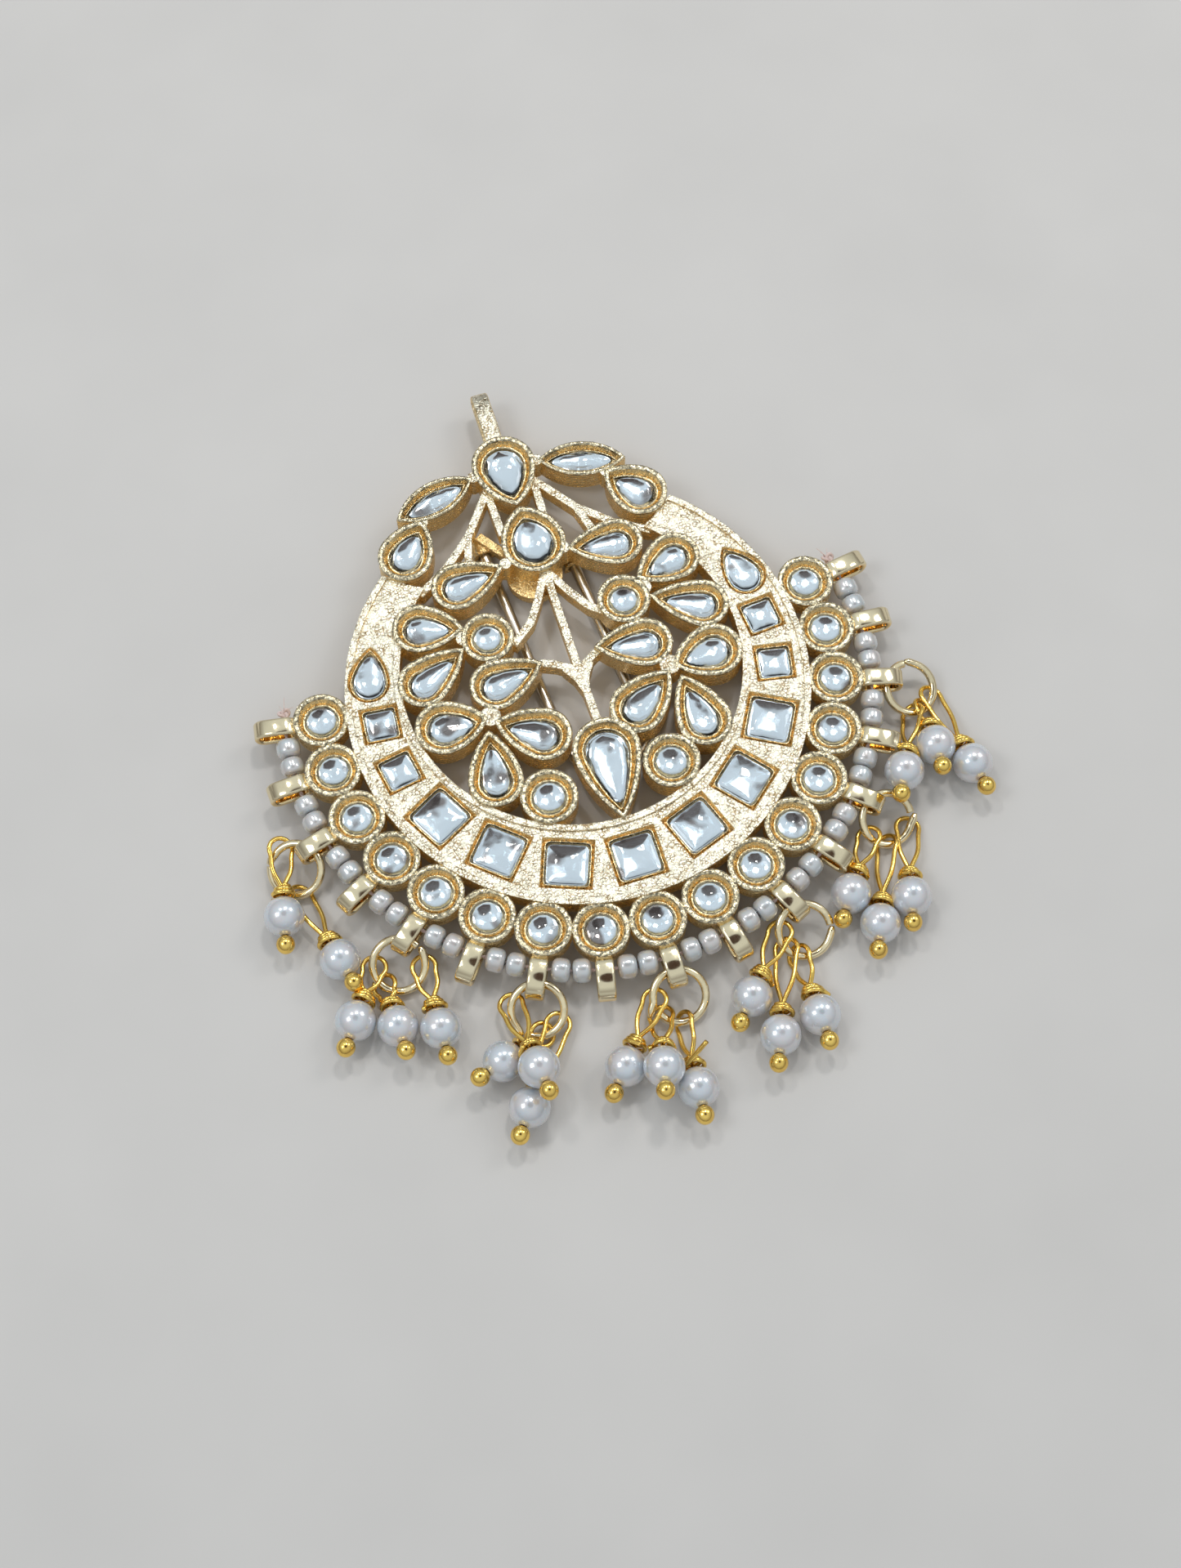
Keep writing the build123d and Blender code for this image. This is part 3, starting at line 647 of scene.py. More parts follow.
class Finish(Graph):
    """A material with a Principled shader, its patterns on object coordinates."""

    def __init__(self, name, shader_values=None):
        self.material = bpy.data.materials.new(name)
        self.material.use_nodes = True
        super().__init__(self.material.node_tree)
        self.nodes.clear()
        output = self.nodes.new("ShaderNodeOutputMaterial")
        self.shader = self.nodes.new("ShaderNodeBsdfPrincipled")
        self.links.new(self.shader.outputs["BSDF"], output.inputs["Surface"])
        self.place = self.nodes.new("ShaderNodeTexCoord").outputs
        self.shaded(shader_values or {})

    def shaded(self, values):
        """Feeds inputs of the shader by name."""
        for name, value in values.items():
            self.feed(self.shader.inputs[name], value)

    def noise(self, scale, detail=3.0, roughness=0.55):
        """A noise pattern."""
        values = {"Scale": scale, "Detail": detail, "Roughness": roughness}
        return self.add("TexNoise", {"Vector": self.place["Object"], **values}).outputs["Fac"]

    def tinted(self, pattern, low, high, first, second):
        """Makes the shader's colour follow a pattern."""
        self.shaded({"Base Color": self.blend(self.spread(pattern, low, high), first, second)})

    def polished(self, pattern, to_low, to_high, low=0.3, high=0.7):
        """Makes the shader's roughness follow a pattern."""
        self.shaded({"Roughness": self.spread(pattern, low, high, to_low, to_high)})

    def bumped(self, height, strength, distance):
        """Bumps the shader's normal by a height and gives back the node."""
        node = self.add("Bump", {"Strength": strength, "Distance": distance, "Height": height})
        self.links.new(node.outputs["Normal"], self.shader.inputs["Normal"])
        return node


METAL = {"Metallic": 1.0}


def shade(colour, share):
    """A colour made lighter or darker, never above 1."""
    return tuple(min(1.0, value * share) for value in colour)


def cast_gold(colours):
    """Sandy plated casting with veins, ridges on the walls and polished strap loops; the walls and
    hollows get painted shade in deeper gold.

    The loops and the bail are flat, but shaded as rounded: their normal leans along the
    strap and, by its place between two neighbours, across it.
    """
    finish = Finish("cast_gold", METAL)
    spread, math, product = finish.spread, finish.math, finish.product
    split = finish.add("SeparateXYZ", {"Vector": finish.place["Object"]}).outputs
    facing = finish.add("SeparateXYZ", {"Vector": finish.place["Normal"]}).outputs["Z"]
    ground = finish.add("CombineXYZ", {"X": split["X"], "Y": split["Y"]}).outputs["Vector"]
    reach = finish.vectors("LENGTH", ground)

    # Where the loops, the walls, the inner slopes and ledges and the band's outer wall are, in
    # metres; all but the loops take painted shade
    loops = product(spread(reach, 0.0284, 0.0288), spread(split["Y"], 0.0105, 0.0095))
    sandy = math("ABSOLUTE", math("SUBTRACT", loops, 1.0))
    wall = spread(facing, 0.25, 0.05)
    up = spread(facing, 0.8, 0.9)
    slope = product(spread(facing, 0.30, 0.42), spread(facing, 0.78, 0.66), sandy)
    ledge = product(spread(split["Z"], 0.00365, 0.00355), up)
    off_edge = math("ABSOLUTE", math("SUBTRACT", reach, 0.0233))
    edge = product(spread(off_edge, 0.0003, 0.0002), wall)
    inner = math("MAXIMUM", math("MAXIMUM", slope, ledge), edge)

    # Colour: random clouds and veins, then painted shade on the walls and in the hollows
    crystals = finish.add("TexVoronoi", {"Vector": finish.place["Object"], "Scale": 2900.0})
    crystals.feature = "DISTANCE_TO_EDGE"
    crystal_edge = crystals.outputs["Distance"]
    clouds = spread(finish.noise(420.0), 0.35, 0.65)
    veiny = spread(finish.noise(1000.0), 0.42, 0.54)
    veins = product(spread(crystal_edge, 0.13, 0.06), veiny, sandy)
    colour = finish.blend(clouds, colours.gold, shade(colours.gold, 0.82))
    colour = finish.blend(loops, colour, LOOP_GOLD)
    colour = finish.blend(veins, colour, VEIN_BROWN)
    # Painted shade: side walls in deep gold, inner slopes, ledges and the band's outer wall deeper
    # still
    colour = finish.blend(wall, colour, shade(colours.painted_shade_gold, 1.12))
    colour = finish.blend(inner, colour, colours.painted_shade_gold)
    fine = finish.noise(4200.0, 3.0, 0.6)
    dull = product(spread(fine, 0.3, 0.7, 0.16, 0.34), spread(loops, 0.0, 1.0, 1.0, 0.45))
    finish.shaded({"Base Color": colour, "Roughness": dull})

    # Grains everywhere but on the loops, ridges on the walls
    ridges = finish.add(
        "TexWave",
        {"Vector": finish.place["Object"], "Scale": 900.0, "Distortion": 1.5, "Detail": 2.0},
    )
    ridges.bands_direction = "Z"
    height = math("ADD", math("ADD", fine, crystal_edge), product(ridges.outputs["Fac"], wall))
    bump = finish.bumped(product(height, sandy), 1.0, 0.00008)

    # Lean along the strap, outward past its top and inward before it, and at the bail
    past = spread(reach, 0.0302, 0.0317, 0.0, 14.0)
    before = spread(reach, 0.0302, 0.0288, 0.0, -4.0)
    bail = spread(split["Y"], 0.0315, 0.0350, 0.0, 12.0)
    arch = product(math("ADD", product(math("ADD", past, before), loops), bail), up)
    along = finish.vectors("SCALE", ground, scale=arch)
    # Lean across the strap: its place in the cell of its loop, from -0.5 to 0.5
    turned = math("ARCTAN2", split["X"], product(split["Y"], -1.0))
    cell = math("ADD", math("DIVIDE", turned, np.radians(LOOP_TURN)), 0.5)
    off_middle = math("ADD", math("FRACT", cell), -0.5)
    lean = product(off_middle, loops, up, 34.0)
    sideways = finish.vectors("CROSS_PRODUCT", (0.0, 0.0, 1.0), ground)
    across = finish.vectors("SCALE", sideways, scale=lean)
    soft = finish.add("Bevel", {"Radius": 0.00016})
    soft.samples = 4
    tilted = finish.vectors("ADD", finish.vectors("ADD", soft.outputs["Normal"], across), along)
    finish.feed(bump.inputs["Normal"], finish.vectors("NORMALIZE", tilted))
    return finish.material


def bright_gold(name, colour, roughness, grain, grain_height, patch=700.0, patch_shade=0.85):
    """Plated metal with a fine uneven skin and darker patches; grain and patch are scales."""
    finish = Finish(name, METAL)
    light, dark = shade(colour, 1.05), shade(colour, patch_shade)
    finish.tinted(finish.noise(patch), 0.40, 0.60, light, dark)
    fine = finish.noise(grain)
    finish.polished(fine, roughness * 0.7, roughness * 1.4)
    finish.bumped(fine, 0.7, grain_height)
    return finish.material


def drawn_steel(colours):
    """Drawn wire: long scratches along the pin, faint tan film."""
    finish = Finish("drawn_steel", METAL)
    stretch = finish.add(
        "Mapping", {"Vector": finish.place["Object"], "Scale": (6000.0, 260.0, 6000.0)}
    )
    streaks = finish.add(
        "TexNoise", {"Vector": stretch.outputs["Vector"], "Scale": 1.0, "Detail": 3.0}
    ).outputs["Fac"]
    finish.tinted(streaks, 0.3, 0.7, shade(colours.steel, 1.1), shade(colours.steel, 0.75))
    finish.polished(streaks, 0.18, 0.36)
    finish.bumped(streaks, 0.25, 0.00001)
    return finish.material


def clear_glass():
    """Clear stone: glass with faint ripples in its polish."""
    finish = Finish(
        "clear_glass", {"Base Color": GLASS_CLEAR, "Transmission Weight": 1.0, "IOR": 1.52}
    )
    finish.polished(finish.noise(5200.0, 2.0), 0.0, 0.05, high=0.8)
    finish.bumped(finish.noise(900.0, 1.0), 0.25, 0.0001)
    return finish.material


def silver_foil(colours):
    """Crumpled silver foil under a stone, with a few dark patches, partly tarnish and partly
    painted dark reflection.
    """
    finish = Finish("silver_foil", METAL)
    # Random dark patches: partly tarnish, partly painted dark reflection
    finish.tinted(finish.noise(420.0, 1.0, 0.4), 0.62, 0.70, colours.foil, FOIL_TARNISH_AND_DARK_REFLECTION)
    crumple = finish.noise(480.0, 2.0, 0.4)
    finish.polished(crumple, 0.07, 0.14)
    finish.bumped(crumple, 0.3, 0.0002)
    return finish.material


def pearl_skin(name, colour, pit_scale, pit_depth):
    """Lustrous coat over a chalky body, with soft cool and warm clouds and small pits."""
    finish = Finish(
        name,
        {
            "Metallic": 0.32,
            "Subsurface Weight": 0.1,
            "Subsurface Scale": 0.0005,
            "Coat Weight": 1.0,
            "Coat Roughness": 0.10,
            "Coat IOR": 1.8,
        },
    )
    cool = tuple(value * share for value, share in zip(colour, (0.94, 1.00, 1.05)))
    warm = tuple(value * share for value, share in zip(colour, (1.02, 0.97, 0.96)))
    finish.tinted(finish.noise(520.0, 2.0), 0.38, 0.62, cool, warm)
    pits = finish.noise(pit_scale, 4.0, 0.65)
    finish.polished(pits, 0.16, 0.28)
    finish.bumped(pits, 0.35, pit_depth)
    return finish.material


def spun_thread():
    """Soft thread: fine fibres across the ply, pale with warm shadows."""
    finish = Finish("spun_thread", {"Roughness": 0.8, "Sheen Weight": 0.4})
    fibres = finish.noise(9000.0, 2.0)
    finish.tinted(fibres, 0.3, 0.7, THREAD_PALE, THREAD_DARK)
    finish.bumped(fibres, 0.6, 0.00003)
    return finish.material


def pale_floor(colours):
    """Plain pale board with a very faint unevenness."""
    finish = Finish("pale_floor", {"Roughness": 0.75})
    light, dark = shade(colours.floor, 1.02), shade(colours.floor, 0.97)
    finish.tinted(finish.noise(40.0), 0.3, 0.7, light, dark)
    return finish.material


def dress(node_name, material):
    """Gives a CAD node a material on its own slots."""
    shape = bpy.data.objects[node_name]
    if not shape.data.materials:
        shape.data.materials.append(material)
    for place in range(len(shape.material_slots)):
        shape.material_slots[place].link = "OBJECT"
        shape.material_slots[place].material = material


# Operators


class BROOCH_OT_metal(bpy.types.Operator):
    """Gives the cast frame and the hair pin their metal finishes"""

    bl_idname = "brooch.metal"
    bl_label = "Cast metal"

    def execute(self, context):
        colours = context.scene.brooch_colours
        dress("frame", cast_gold(colours))
        dress("hair_pin", drawn_steel(colours))
        return {"FINISHED"}


def crest_profile(middle, level, half_width, half_height):
    """An ellipse as rows of (inset, level, share of the grain); its upper side is grained."""
    turn = even_turns(10)
    insets, levels = middle - half_width * np.cos(turn), level + half_height * np.sin(turn)
    return np.column_stack([insets, levels, np.sin(turn) > 0.1])


class BROOCH_OT_rims(bpy.types.Operator):
    """Adds the grained crests and the thin inner bezels of the settings"""

    bl_idname = "brooch.rims"
    bl_label = "Rims and bezels"

    def execute(self, context):
        sizes = context.scene.brooch_sizes
        width, rise, grain = sizes.rim_width / MM, sizes.rim_rise / MM, sizes.grain / MM
        thick = sizes.bezel / MM / 2
        crest = crest_profile(width / 2 - 0.02, RIM_LEVEL - 0.07, 0.5 * width, rise)
        bezel = crest_profile(1.02, LEDGE_LEVEL + 0.15, thick, 1.7 * thick)
        band_bezel = crest_profile(0.33, BAND_LEDGE_LEVEL + 0.14, 0.5 * thick, 1.2 * thick)
        crests, bezels = [], []
        seed = 11
        for members in layout(sizes).values():
            for outline, row, drop in members:
                seed += 1
                fall = np.array([0.0, drop, 0.0])
                girth = np.linalg.norm(np.diff(outline(row, 0.2, 60), axis=0), axis=1).sum()
                count = 2 * int(girth / GRAIN_STEP)
                crests.append(collet_ring(outline, row, crest - fall, count, grain, seed))
                bezels.append(
                    collet_ring(outline, row, bezel - fall, count, grain * 0.7, seed + 100)
                )
        flush = [(square_outline, row) for row in square_places(sizes)]
        flush += [(pear_outline, row) for row in both_hands(scaled(sizes, BAND_PEAR))]
        for outline, row in flush:
            seed += 1
            bezels.append(
                collet_ring(outline, row, band_bezel, STONE_POINTS, grain * 0.4, seed)
            )
        crest_gold = bright_gold("crest_gold", CREST_GOLD, 0.16, 3000.0, 0.00016, 2800.0, 0.32)
        bezel_gold = bright_gold("bezel_gold", BEZEL_GOLD, 0.16, 3600.0, 0.00006, 2600.0, 0.5)
        piece("setting_crests", crests, crest_gold, "frame_gold")
        piece("setting_bezels", bezels, bezel_gold, "frame_gold")
        return {"FINISHED"}


class BROOCH_OT_stones(bpy.types.Operator):
    """Adds the domed cut stones and the foil under them"""

    bl_idname = "brooch.stones"
    bl_label = "Stones"

    def execute(self, context):
        sizes = context.scene.brooch_sizes
        glass, foil = clear_glass(), silver_foil(context.scene.brooch_colours)
        backings = []
        for name, members in layout(sizes).items():
            shells = []
            for outline, row, drop in members:
                facets = 12 if outline is round_outline else 10
                base = LEDGE_LEVEL - drop + 0.05
                levels = dome_levels(base, base + 0.25, base + 0.80)
                shells.append(stone_shell(outline, row, STONE_INSET, levels, STONE_POINTS, facets))
                backings.append(foil_shell(outline, row, FOIL_INSET, base - 0.03))
            piece("cut_" + name, shells, glass, "clear_stone", name)

        low = BAND_LEDGE_LEVEL
        crown = dome_levels(low + 0.05, low + 0.15, low + 0.58, 0.4)

        def band_stone(outline, row, facets):
            """The shell of a stone of the band; its foil joins the others."""
            backings.append(foil_shell(outline, row, BAND_FOIL_INSET, low + 0.02))
            return stone_shell(outline, row, BAND_STONE_INSET, crown, STONE_POINTS, facets)

        for index, row in enumerate(square_places(sizes), start=1):
            shell = band_stone(square_outline, row, 8)
            stands_for = f"square_stone_{index:02d}"
            piece(f"cut_square_{index:02d}", [shell], glass, "clear_stone", stands_for)
        pears = [band_stone(pear_outline, row, 10) for row in both_hands(scaled(sizes, BAND_PEAR))]
        piece("cut_band_pears", pears, glass, "clear_stone", "band_pear_stones")
        piece("stone_foils", backings, foil, "clear_stone")
        return {"FINISHED"}


def stone_centre(outline, row):
    """The round end's middle of a pear, else the middle of the outline."""
    if outline is pear_outline:
        return np.array(row[2:4])
    if outline is marquise_outline:
        return (np.array(row[0:2]) + np.array(row[2:4])) / 2
    return np.array(row[0:2])


def dome_levels(base, girdle, table, cut=0.9):
    """Rows of (share, level, facet weight, roundness), from the girdle up a steep crown.

    The bowl above it is z = table - 0.55 rise s^2 at share 0.82 s of the girdle.
    """
    rise = table - girdle
    levels = [
        (0.95, base, 0.0, 0.0),
        (0.985, base, 0.0, 0.0),
        (1.0, base + 0.02, 0.0, 0.0),
        (1.0, girdle - 0.02, 0.0, 0.0),
        (0.985, girdle + 0.03, 0.05, 0.0),
        (0.90, girdle + 0.26 * rise, 0.8, 0.0),
    ]
    for share in (1.0, 0.93, 0.86, 0.76, 0.64, 0.5, 0.34, 0.16):
        roundness = min(1.0, 1.6 * (1.0 - share))
        levels.append((0.82 * share, table - 0.55 * rise * share**2, cut * share**2, roundness))
    return levels


def foil_shell(outline, row, inset, top):
    """The foiled back that fills the seat under a stone, flat at both ends."""
    low = SEAT_LEVEL + 0.02
    rows = ((0.95, low), (0.99, low), (0.99, top), (0.96, top))
    levels = [(share, level, 0.0, 0.0) for share, level in rows]
    return stone_shell(outline, row, inset, levels, FOIL_POINTS, 12)


class BROOCH_OT_seed_beads(bpy.types.Operator):
    """Adds the rounded seed beads and their twisted thread"""

    bl_idname = "brooch.seed_beads"
    bl_label = "Seed beads and thread"

    def execute(self, context):
        sizes = context.scene.brooch_sizes
        random = np.random.default_rng(5)
        ring = THREAD_DISTANCE * sizes.band_radius / MM
        outer, half = sizes.seed_diameter / MM / 2, sizes.seed_length / MM / 2
        shut = np.arcsin((SEED_BORE / outer) ** (1 / SEED_POWER))
        turn = np.linspace(shut, np.pi - shut, 22)
        along = -half * np.sign(np.cos(turn)) * abs(np.cos(turn)) ** SEED_POWER
        across = outer * np.sin(turn) ** SEED_POWER
        beads = []
        for number in range(1, LOOP_COUNT):
            middle = (loop_angle(number) + loop_angle(number + 1)) / 2
            for hand in (1, -1):
                angle = middle + hand * SEED_TURN
                size = 1.0 - 0.05 * random.random()
                lean = random.normal(0.0, 0.035, 2)
                axis = flat(1.0, angle + 90.0) + lean[0] * flat(1.0, angle)
                axis = axis + np.array([0, 0, lean[1]])
                centre = flat(ring, angle, LOOP_LEVEL)
                beads.append(closed_strip(lathe(centre, axis, along * size, across * size, 28)))
        glaze = pearl_skin("seed_glaze", context.scene.brooch_colours.seed, 2600.0, 0.00001)
        piece("seed_beads", beads, glaze, "seed_bead", "edge_beads")
        thread = thread_shells(ring, random)
        piece("twisted_thread", thread, spun_thread(), "thread", "bead_thread")
        return {"FINISHED"}


def thread_shells(ring, random):
    """Two plies wound round the thread's circle, a knot at each end and frayed strands.

    Ply: (r + a cos w, z + a sin w), w growing by a full turn a pitch. Knot: the trefoil
    (sin t + 2 sin 2t, cos t - 2 cos 2t, -sin 3t). Strand: a line plus a bend by s^2.
    """
    shells = []
    start, end = loop_angle(1) - THREAD_PAST, loop_angle(LOOP_COUNT) + THREAD_PAST
    angles = np.linspace(start, end, 1100)
    way = np.stack([flat(1.0, angle) for angle in angles])
    length_so_far = np.radians(angles - start) * ring
    for phase in (0.0, np.pi):
        wind = 2 * np.pi * length_so_far / PLY_PITCH + phase
        path = way * (ring + PLY_OFFSET * np.cos(wind))[:, None]
        path[:, 2] = LOOP_LEVEL + PLY_OFFSET * np.sin(wind)
        shells.append(tube(path, PLY_RADIUS, (0.0, 0.0, 1.0), 6))
    t = np.linspace(0.0, 2 * np.pi, 90)
    trefoil = [np.sin(t) + 2 * np.sin(2 * t), np.cos(t) - 2 * np.cos(2 * t), -np.sin(3 * t)]
    knot = np.column_stack(trefoil) * KNOT_SIZE
    s = np.linspace(0.0, 1.0, 14)[:, None]
    for angle, hand in ((start, -1), (end, 1)):
        centre = flat(ring, angle, LOOP_LEVEL)
        shells.append(tube(centre + knot, 0.17, unit(knot + [0.01, 0.0, 0.0]), 8))
        for _ in range(6):
            lean = random.normal(0.0, 0.35, 3)
            away = unit(flat(1.0, angle + hand * 90.0) + lean)
            bend = random.normal(0.0, 0.25, 3) + np.array([0.0, 0.0, -0.25])
            reach = 0.7 + 0.8 * random.random()
            path = centre + away * reach * s + bend * s**2
            shells.append(tube(path, 0.07 * (1.0 - 0.6 * s[:, 0]), (0.3, 0.2, 0.9), 5))
    return shells


class BROOCH_OT_jump_rings(bpy.types.Operator):
    """Adds the open jump rings with their cut ends sprung apart"""

    bl_idname = "brooch.jump_rings"
    bl_label = "Jump rings"

    def execute(self, context):
        sizes = context.scene.brooch_sizes
        finish = bright_gold("ring_gold", RING_GOLD, 0.09, 2600.0, 0.000015)
        wire = sizes.ring_wire / MM / 2
        share = np.linspace(0.0, 1.0, 120)
        sprung = np.clip((share - 0.93) / 0.07, 0.0, 1.0) ** 1.3
        nipped = 1.0 - 0.45 * np.clip((share - 0.975) / 0.025, 0.0, 1.0)
        for index, frame_row in enumerate(ring_frames(sizes).values(), start=1):
            centre, out, across, reach, cut, lift = frame_row
            normal = np.cross(out, across)
            angle = np.radians(cut + 2.0 + share * 356.0)
            radius = reach + lift * sprung
            path = centre + radius[:, None] * rays(angle, out, across)
            path += normal * (0.12 * np.sin(angle - np.radians(cut)) * (share - 0.5))[:, None]
            shell = tube(path, wire * nipped, normal, 16)
            piece(f"open_ring_{index}", [shell], finish, "ring_gold", f"jump_ring_{index}")
        return {"FINISHED"}


class BROOCH_OT_pearls(bpy.types.Operator):
    """Adds the drilled pearls"""

    bl_idname = "brooch.pearls"
    bl_label = "Pearls"

    def execute(self, context):
        sizes = context.scene.brooch_sizes
        finish = pearl_skin("pearl_skin", context.scene.brooch_colours.pearl, 1500.0, 0.00003)
        radius = sizes.pearl_diameter / MM / 2
        start = np.arcsin(PEARL_BORE / radius)
        turn = np.linspace(start, np.pi - start, 40)
        bore_end = radius * np.cos(start) * 0.8
        along = np.concatenate([-radius * np.cos(turn), [bore_end, -bore_end]])
        across = np.concatenate([radius * np.sin(turn), [PEARL_BORE, PEARL_BORE]])
        along[0] += 0.02
        for index, (_, spot, _, down, *_) in enumerate(drop_frames(sizes), start=1):
            shell = closed_strip(lathe(spot, down, along, across, 56))
            piece(f"round_pearl_{index:02d}", [shell], finish, "pearl", f"pearl_{index:02d}")
        return {"FINISHED"}


class BROOCH_OT_head_pins(bpy.types.Operator):
    """Adds the wrapped head pins of the drops"""

    bl_idname = "brooch.head_pins"
    bl_label = "Head pins"

    def execute(self, context):
        sizes = context.scene.brooch_sizes
        colour = context.scene.brooch_colours.wire
        finish = bright_gold("pin_gold", colour, 0.16, 2400.0, 0.000015)
        random = np.random.default_rng(8)
        clusters = {number: [] for number, *_ in JUMP_RINGS}
        for number, *drop in drop_frames(sizes):
            clusters[number].extend(pin_shells(sizes, random, *drop))
        for index, shells in enumerate(clusters.values(), start=1):
            piece(f"wrapped_pins_{index}", shells, finish, "pin_gold", f"head_pins_{index}")
        return {"FINISHED"}


def pin_shells(sizes, random, spot, hook, down, side, slant, wraps, tail):
    """Shells of one head pin: teardrop eye, shank, wound neck with its tail, and ball.

    Eye: an arc of the eye's radius between two legs, swollen by sin^2(pi t) and turned round
    the pin. Neck: a spiral of radius 0.50 + 0.62 s^0.8 that climbs along the pin.
    """
    wire = sizes.head_wire / MM
    flat_height = np.sqrt((sizes.pearl_diameter / MM / 2) ** 2 - PEARL_FLAT**2)
    neck = np.linalg.norm(spot - hook) - flat_height - PIN_GAP - 2 * wire * 0.9
    far = PIN_EYE - (sizes.ring_wire / MM / 2 + wire / 2 + PIN_CLEARANCE) / slant
    reach = max(neck - far, 1.05 * PIN_EYE)
    cross = np.cross(side, down)
    base = hook + down * neck

    past_half = np.pi / 2 + np.arcsin(PIN_EYE / reach)
    bow = PIN_EYE * heading(np.linspace(-past_half, past_half, 40)) + [reach, 0.0]
    legs = np.linspace(0.0, 1.0, 14)[:, None]
    swell = PIN_SWELL * np.sin(np.pi * legs) ** 2 * np.array([0.0, 1.0])
    first, last = legs * bow[0] - swell, (1.0 - legs) * bow[-1] + swell
    outline = np.concatenate([first[:-1], bow, last[1:]])
    lean = 0.16 * np.linspace(-1.0, 1.0, len(outline))
    twist = np.radians(PIN_TWIST) * (-1.0 if side[2] * cross[2] > 0.0 else 1.0)
    wide = cross * np.cos(twist) + side * np.sin(twist)
    thin = side * np.cos(twist) - cross * np.sin(twist)
    path = base - outline[:, :1] * down + outline[:, 1:] * wide + lean[:, None] * thin
    shells = [tube(path, wire / 2, thin, 10)]

    ball_middle = spot + down * (flat_height + PIN_GAP + BALL_DISTANCE)
    shank = np.linspace(0.0, 1.0, 6)[:, None] * (ball_middle - base) + base
    shells.append(tube(shank, wire / 2, side, 10))

    share = np.linspace(0.0, 1.0, int(26 * wraps))
    angle = random.random() * 2 * np.pi + 2 * np.pi * wraps * share
    around = 0.50 + 0.62 * share**0.8 + 0.05 * np.sin(angle * 0.7)
    height = -0.22 + 1.02 * share + 0.14 * share * np.sin(angle + 1.0)
    coil = base + height[:, None] * down + around[:, None] * rays(angle, side, cross)
    way = unit(coil[-1] - coil[-2])
    # A long tail leans away from its pearl
    lift = -down * 0.35 if tail > 2 else down * 0.0
    stray = np.linspace(0.0, 1.0, 10)[1:, None] * tail * unit(way + lift)
    shells.append(tube(np.concatenate([coil, coil[-1] + stray]), wire / 2 * 0.98, down, 10))

    bead = np.linspace(0.06, np.pi - 0.02, 18)
    along = -BALL_RADIUS * np.cos(bead) * (1.0 + 0.06 * (bead > np.pi / 2))
    ball = lathe(ball_middle, down, along, BALL_RADIUS * np.sin(bead), 24)
    shells.append(capped_strip(ball))
    return shells


def studio_dome(tree):
    """A pale ceiling that darkens towards the horizon, with one dim patch overhead."""
    graph = Graph(tree)
    background = tree.nodes["Background"]
    way = graph.nodes.new("ShaderNodeTexCoord").outputs["Generated"]
    split = graph.add("SeparateXYZ", {"Vector": way})
    height = graph.spread(split.outputs["Z"], 0.05, 0.75)
    toward = graph.vectors("DOT_PRODUCT", way, (0.090, -0.020, 0.996))
    patch = graph.spread(toward, 0.960, 0.974)
    dome = graph.blend(height, DOME_LOW, DOME_HIGH)
    graph.feed(background.inputs["Color"], graph.blend(patch, dome, DOME_PATCH))
    graph.feed(background.inputs["Strength"], 0.78)


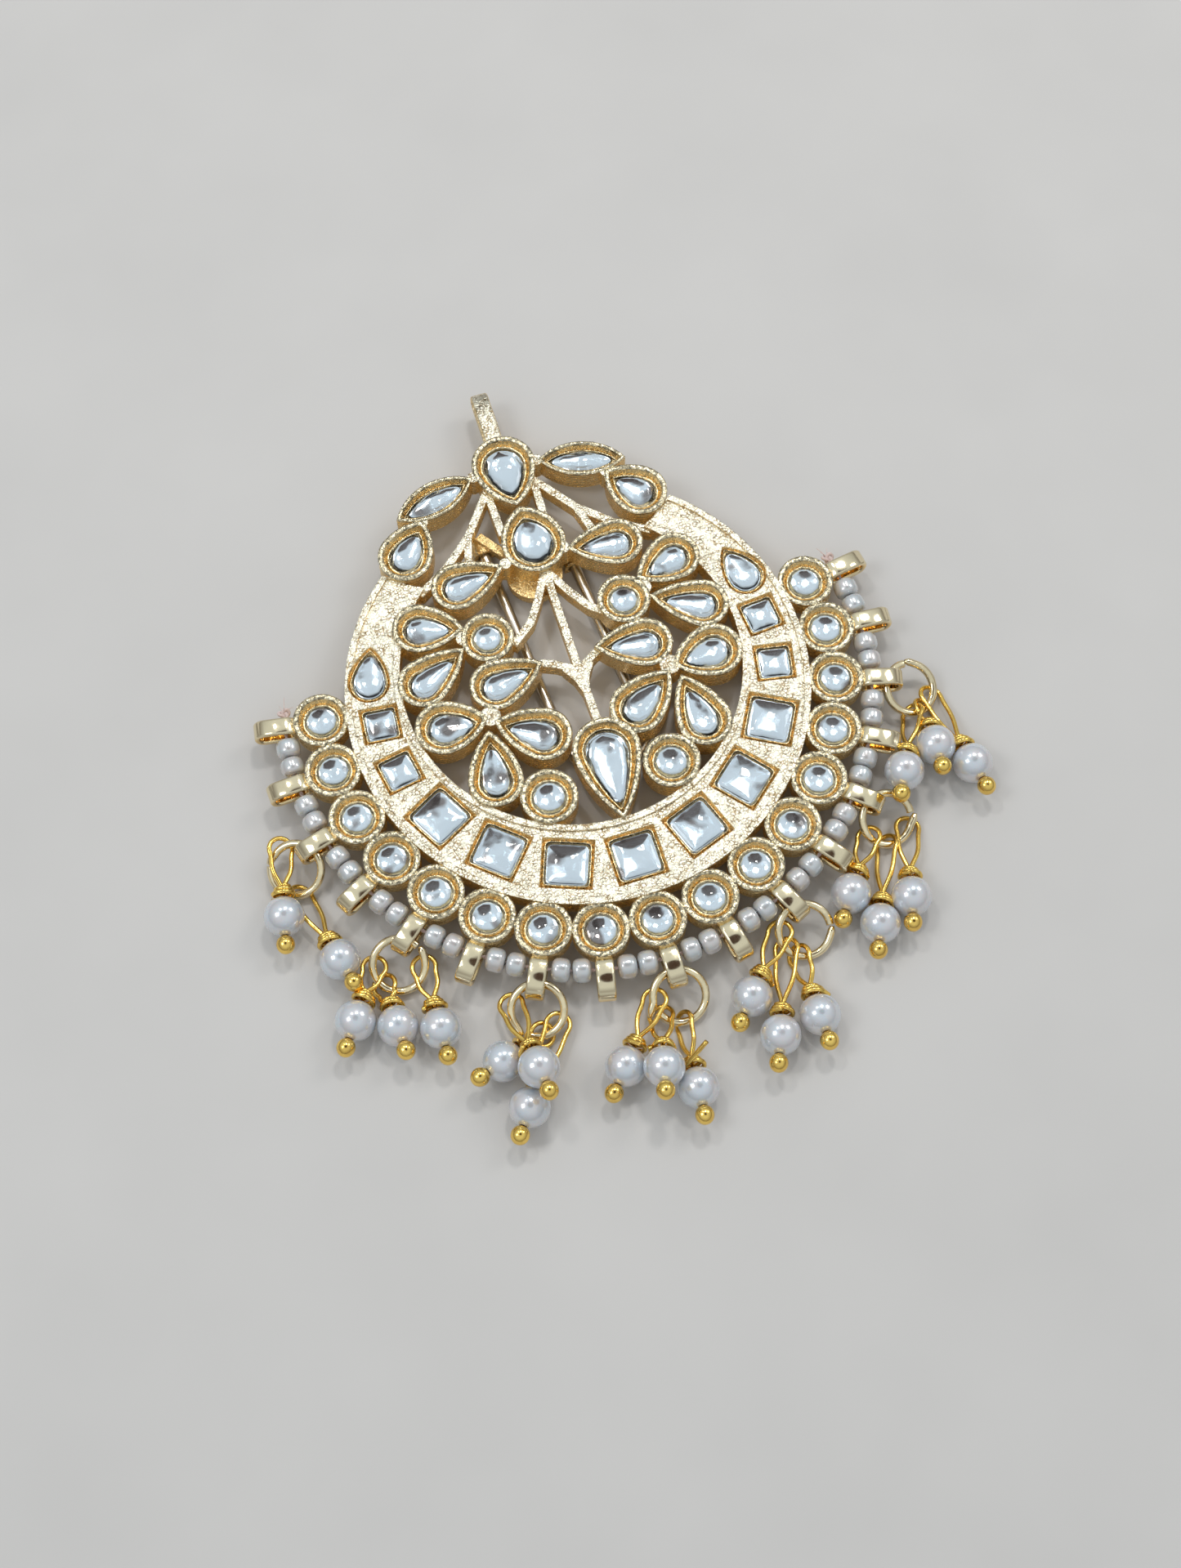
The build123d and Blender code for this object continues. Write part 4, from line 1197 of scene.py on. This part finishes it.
class BROOCH_OT_stage(bpy.types.Operator):
    """Adds the floor, the soft lights and the camera"""

    bl_idname = "brooch.stage"
    bl_label = "Stage"

    def execute(self, context):
        scene = context.scene
        half, level = 1.2, -0.00005
        corners = [(-half, -half), (half, -half), (half, half), (-half, half)]
        mesh = bpy.data.meshes.new("floor")
        mesh.from_pydata([(x, y, level) for x, y in corners], [], [(0, 1, 2, 3)])
        mesh.materials.append(pale_floor(scene.brooch_colours))
        floor = bpy.data.objects.new("floor", mesh)
        scene.collection.objects.link(floor)
        for name, spot, size, energy, colour in (
            ("softbox_back", (0.140, 0.215, 0.490), 0.065, 0.50, (1.0, 0.99, 0.97)),
            ("softbox_top", (-0.094, 0.230, 0.492), 0.045, 0.25, (1.0, 0.99, 0.97)),
            ("softbox_left", (-0.30, 0.02, 0.42), 0.16, 0.36, (0.95, 0.98, 1.0)),
            ("softbox_right", (0.36, 0.10, 0.36), 0.14, 0.28, (1.0, 0.98, 0.95)),
        ):
            light = bpy.data.lights.new(name, "AREA")
            light.shape = "SQUARE"
            light.size = size
            light.energy = energy
            light.color = colour
            lamp = bpy.data.objects.new(name, light)
            lamp.location = spot
            lamp.rotation_mode = "QUATERNION"
            lamp.rotation_quaternion = (-Vector(spot)).to_track_quat("-Z", "Y")
            scene.collection.objects.link(lamp)
        world = bpy.data.worlds.new("studio")
        world.use_nodes = True
        studio_dome(world.node_tree)
        scene.world = world
        camera_data = bpy.data.cameras.new("camera")
        camera_data.lens = PHOTO_FOCAL / PHOTO_HEIGHT * SENSOR
        camera_data.sensor_width = SENSOR
        camera_data.clip_start = 0.01
        camera_data.clip_end = 10.0
        camera = bpy.data.objects.new("camera", camera_data)
        turn = Vector(CAMERA_TURN)
        seen = Matrix.Rotation(turn.length, 3, turn.normalized())
        spot = seen.transposed() @ -Vector(CAMERA_SHIFT)
        facing = Matrix((seen[0], -seen[1], -seen[2])).transposed()
        camera.matrix_world = Matrix.Translation(spot * MM) @ facing.to_4x4()
        scene.collection.objects.link(camera)
        scene.camera = camera
        scene.view_settings.view_transform = "Standard"
        return {"FINISHED"}


OPERATORS = (
    BROOCH_OT_metal,
    BROOCH_OT_rims,
    BROOCH_OT_stones,
    BROOCH_OT_seed_beads,
    BROOCH_OT_jump_rings,
    BROOCH_OT_pearls,
    BROOCH_OT_head_pins,
    BROOCH_OT_stage,
)


class BROOCH_PT_panel(bpy.types.Panel):
    """Lists the brooch's sizes, colours and steps"""

    bl_idname = "BROOCH_PT_panel"
    bl_label = "Hair bun brooch"
    bl_space_type = "VIEW_3D"
    bl_region_type = "UI"
    bl_category = "Brooch"

    def draw(self, context):
        for group in (context.scene.brooch_sizes, context.scene.brooch_colours):
            box = self.layout.box()
            for name in group.__annotations__:
                box.prop(group, name)
        for operator in OPERATORS:
            self.layout.operator(operator.bl_idname)


CLASSES = (BroochSizes, BroochColours, *OPERATORS, BROOCH_PT_panel)


def register():
    for cls in CLASSES:
        bpy.utils.register_class(cls)
    bpy.types.Scene.brooch_sizes = bpy.props.PointerProperty(type=BroochSizes)
    bpy.types.Scene.brooch_colours = bpy.props.PointerProperty(type=BroochColours)


def unregister():
    del bpy.types.Scene.brooch_sizes
    del bpy.types.Scene.brooch_colours
    for cls in reversed(CLASSES):
        bpy.utils.unregister_class(cls)


def main():
    register()
    bpy.ops.brooch.metal()
    bpy.ops.brooch.rims()
    bpy.ops.brooch.stones()
    bpy.ops.brooch.seed_beads()
    bpy.ops.brooch.jump_rings()
    bpy.ops.brooch.pearls()
    bpy.ops.brooch.head_pins()
    bpy.ops.brooch.stage()


if __name__ == "__main__":
    main()
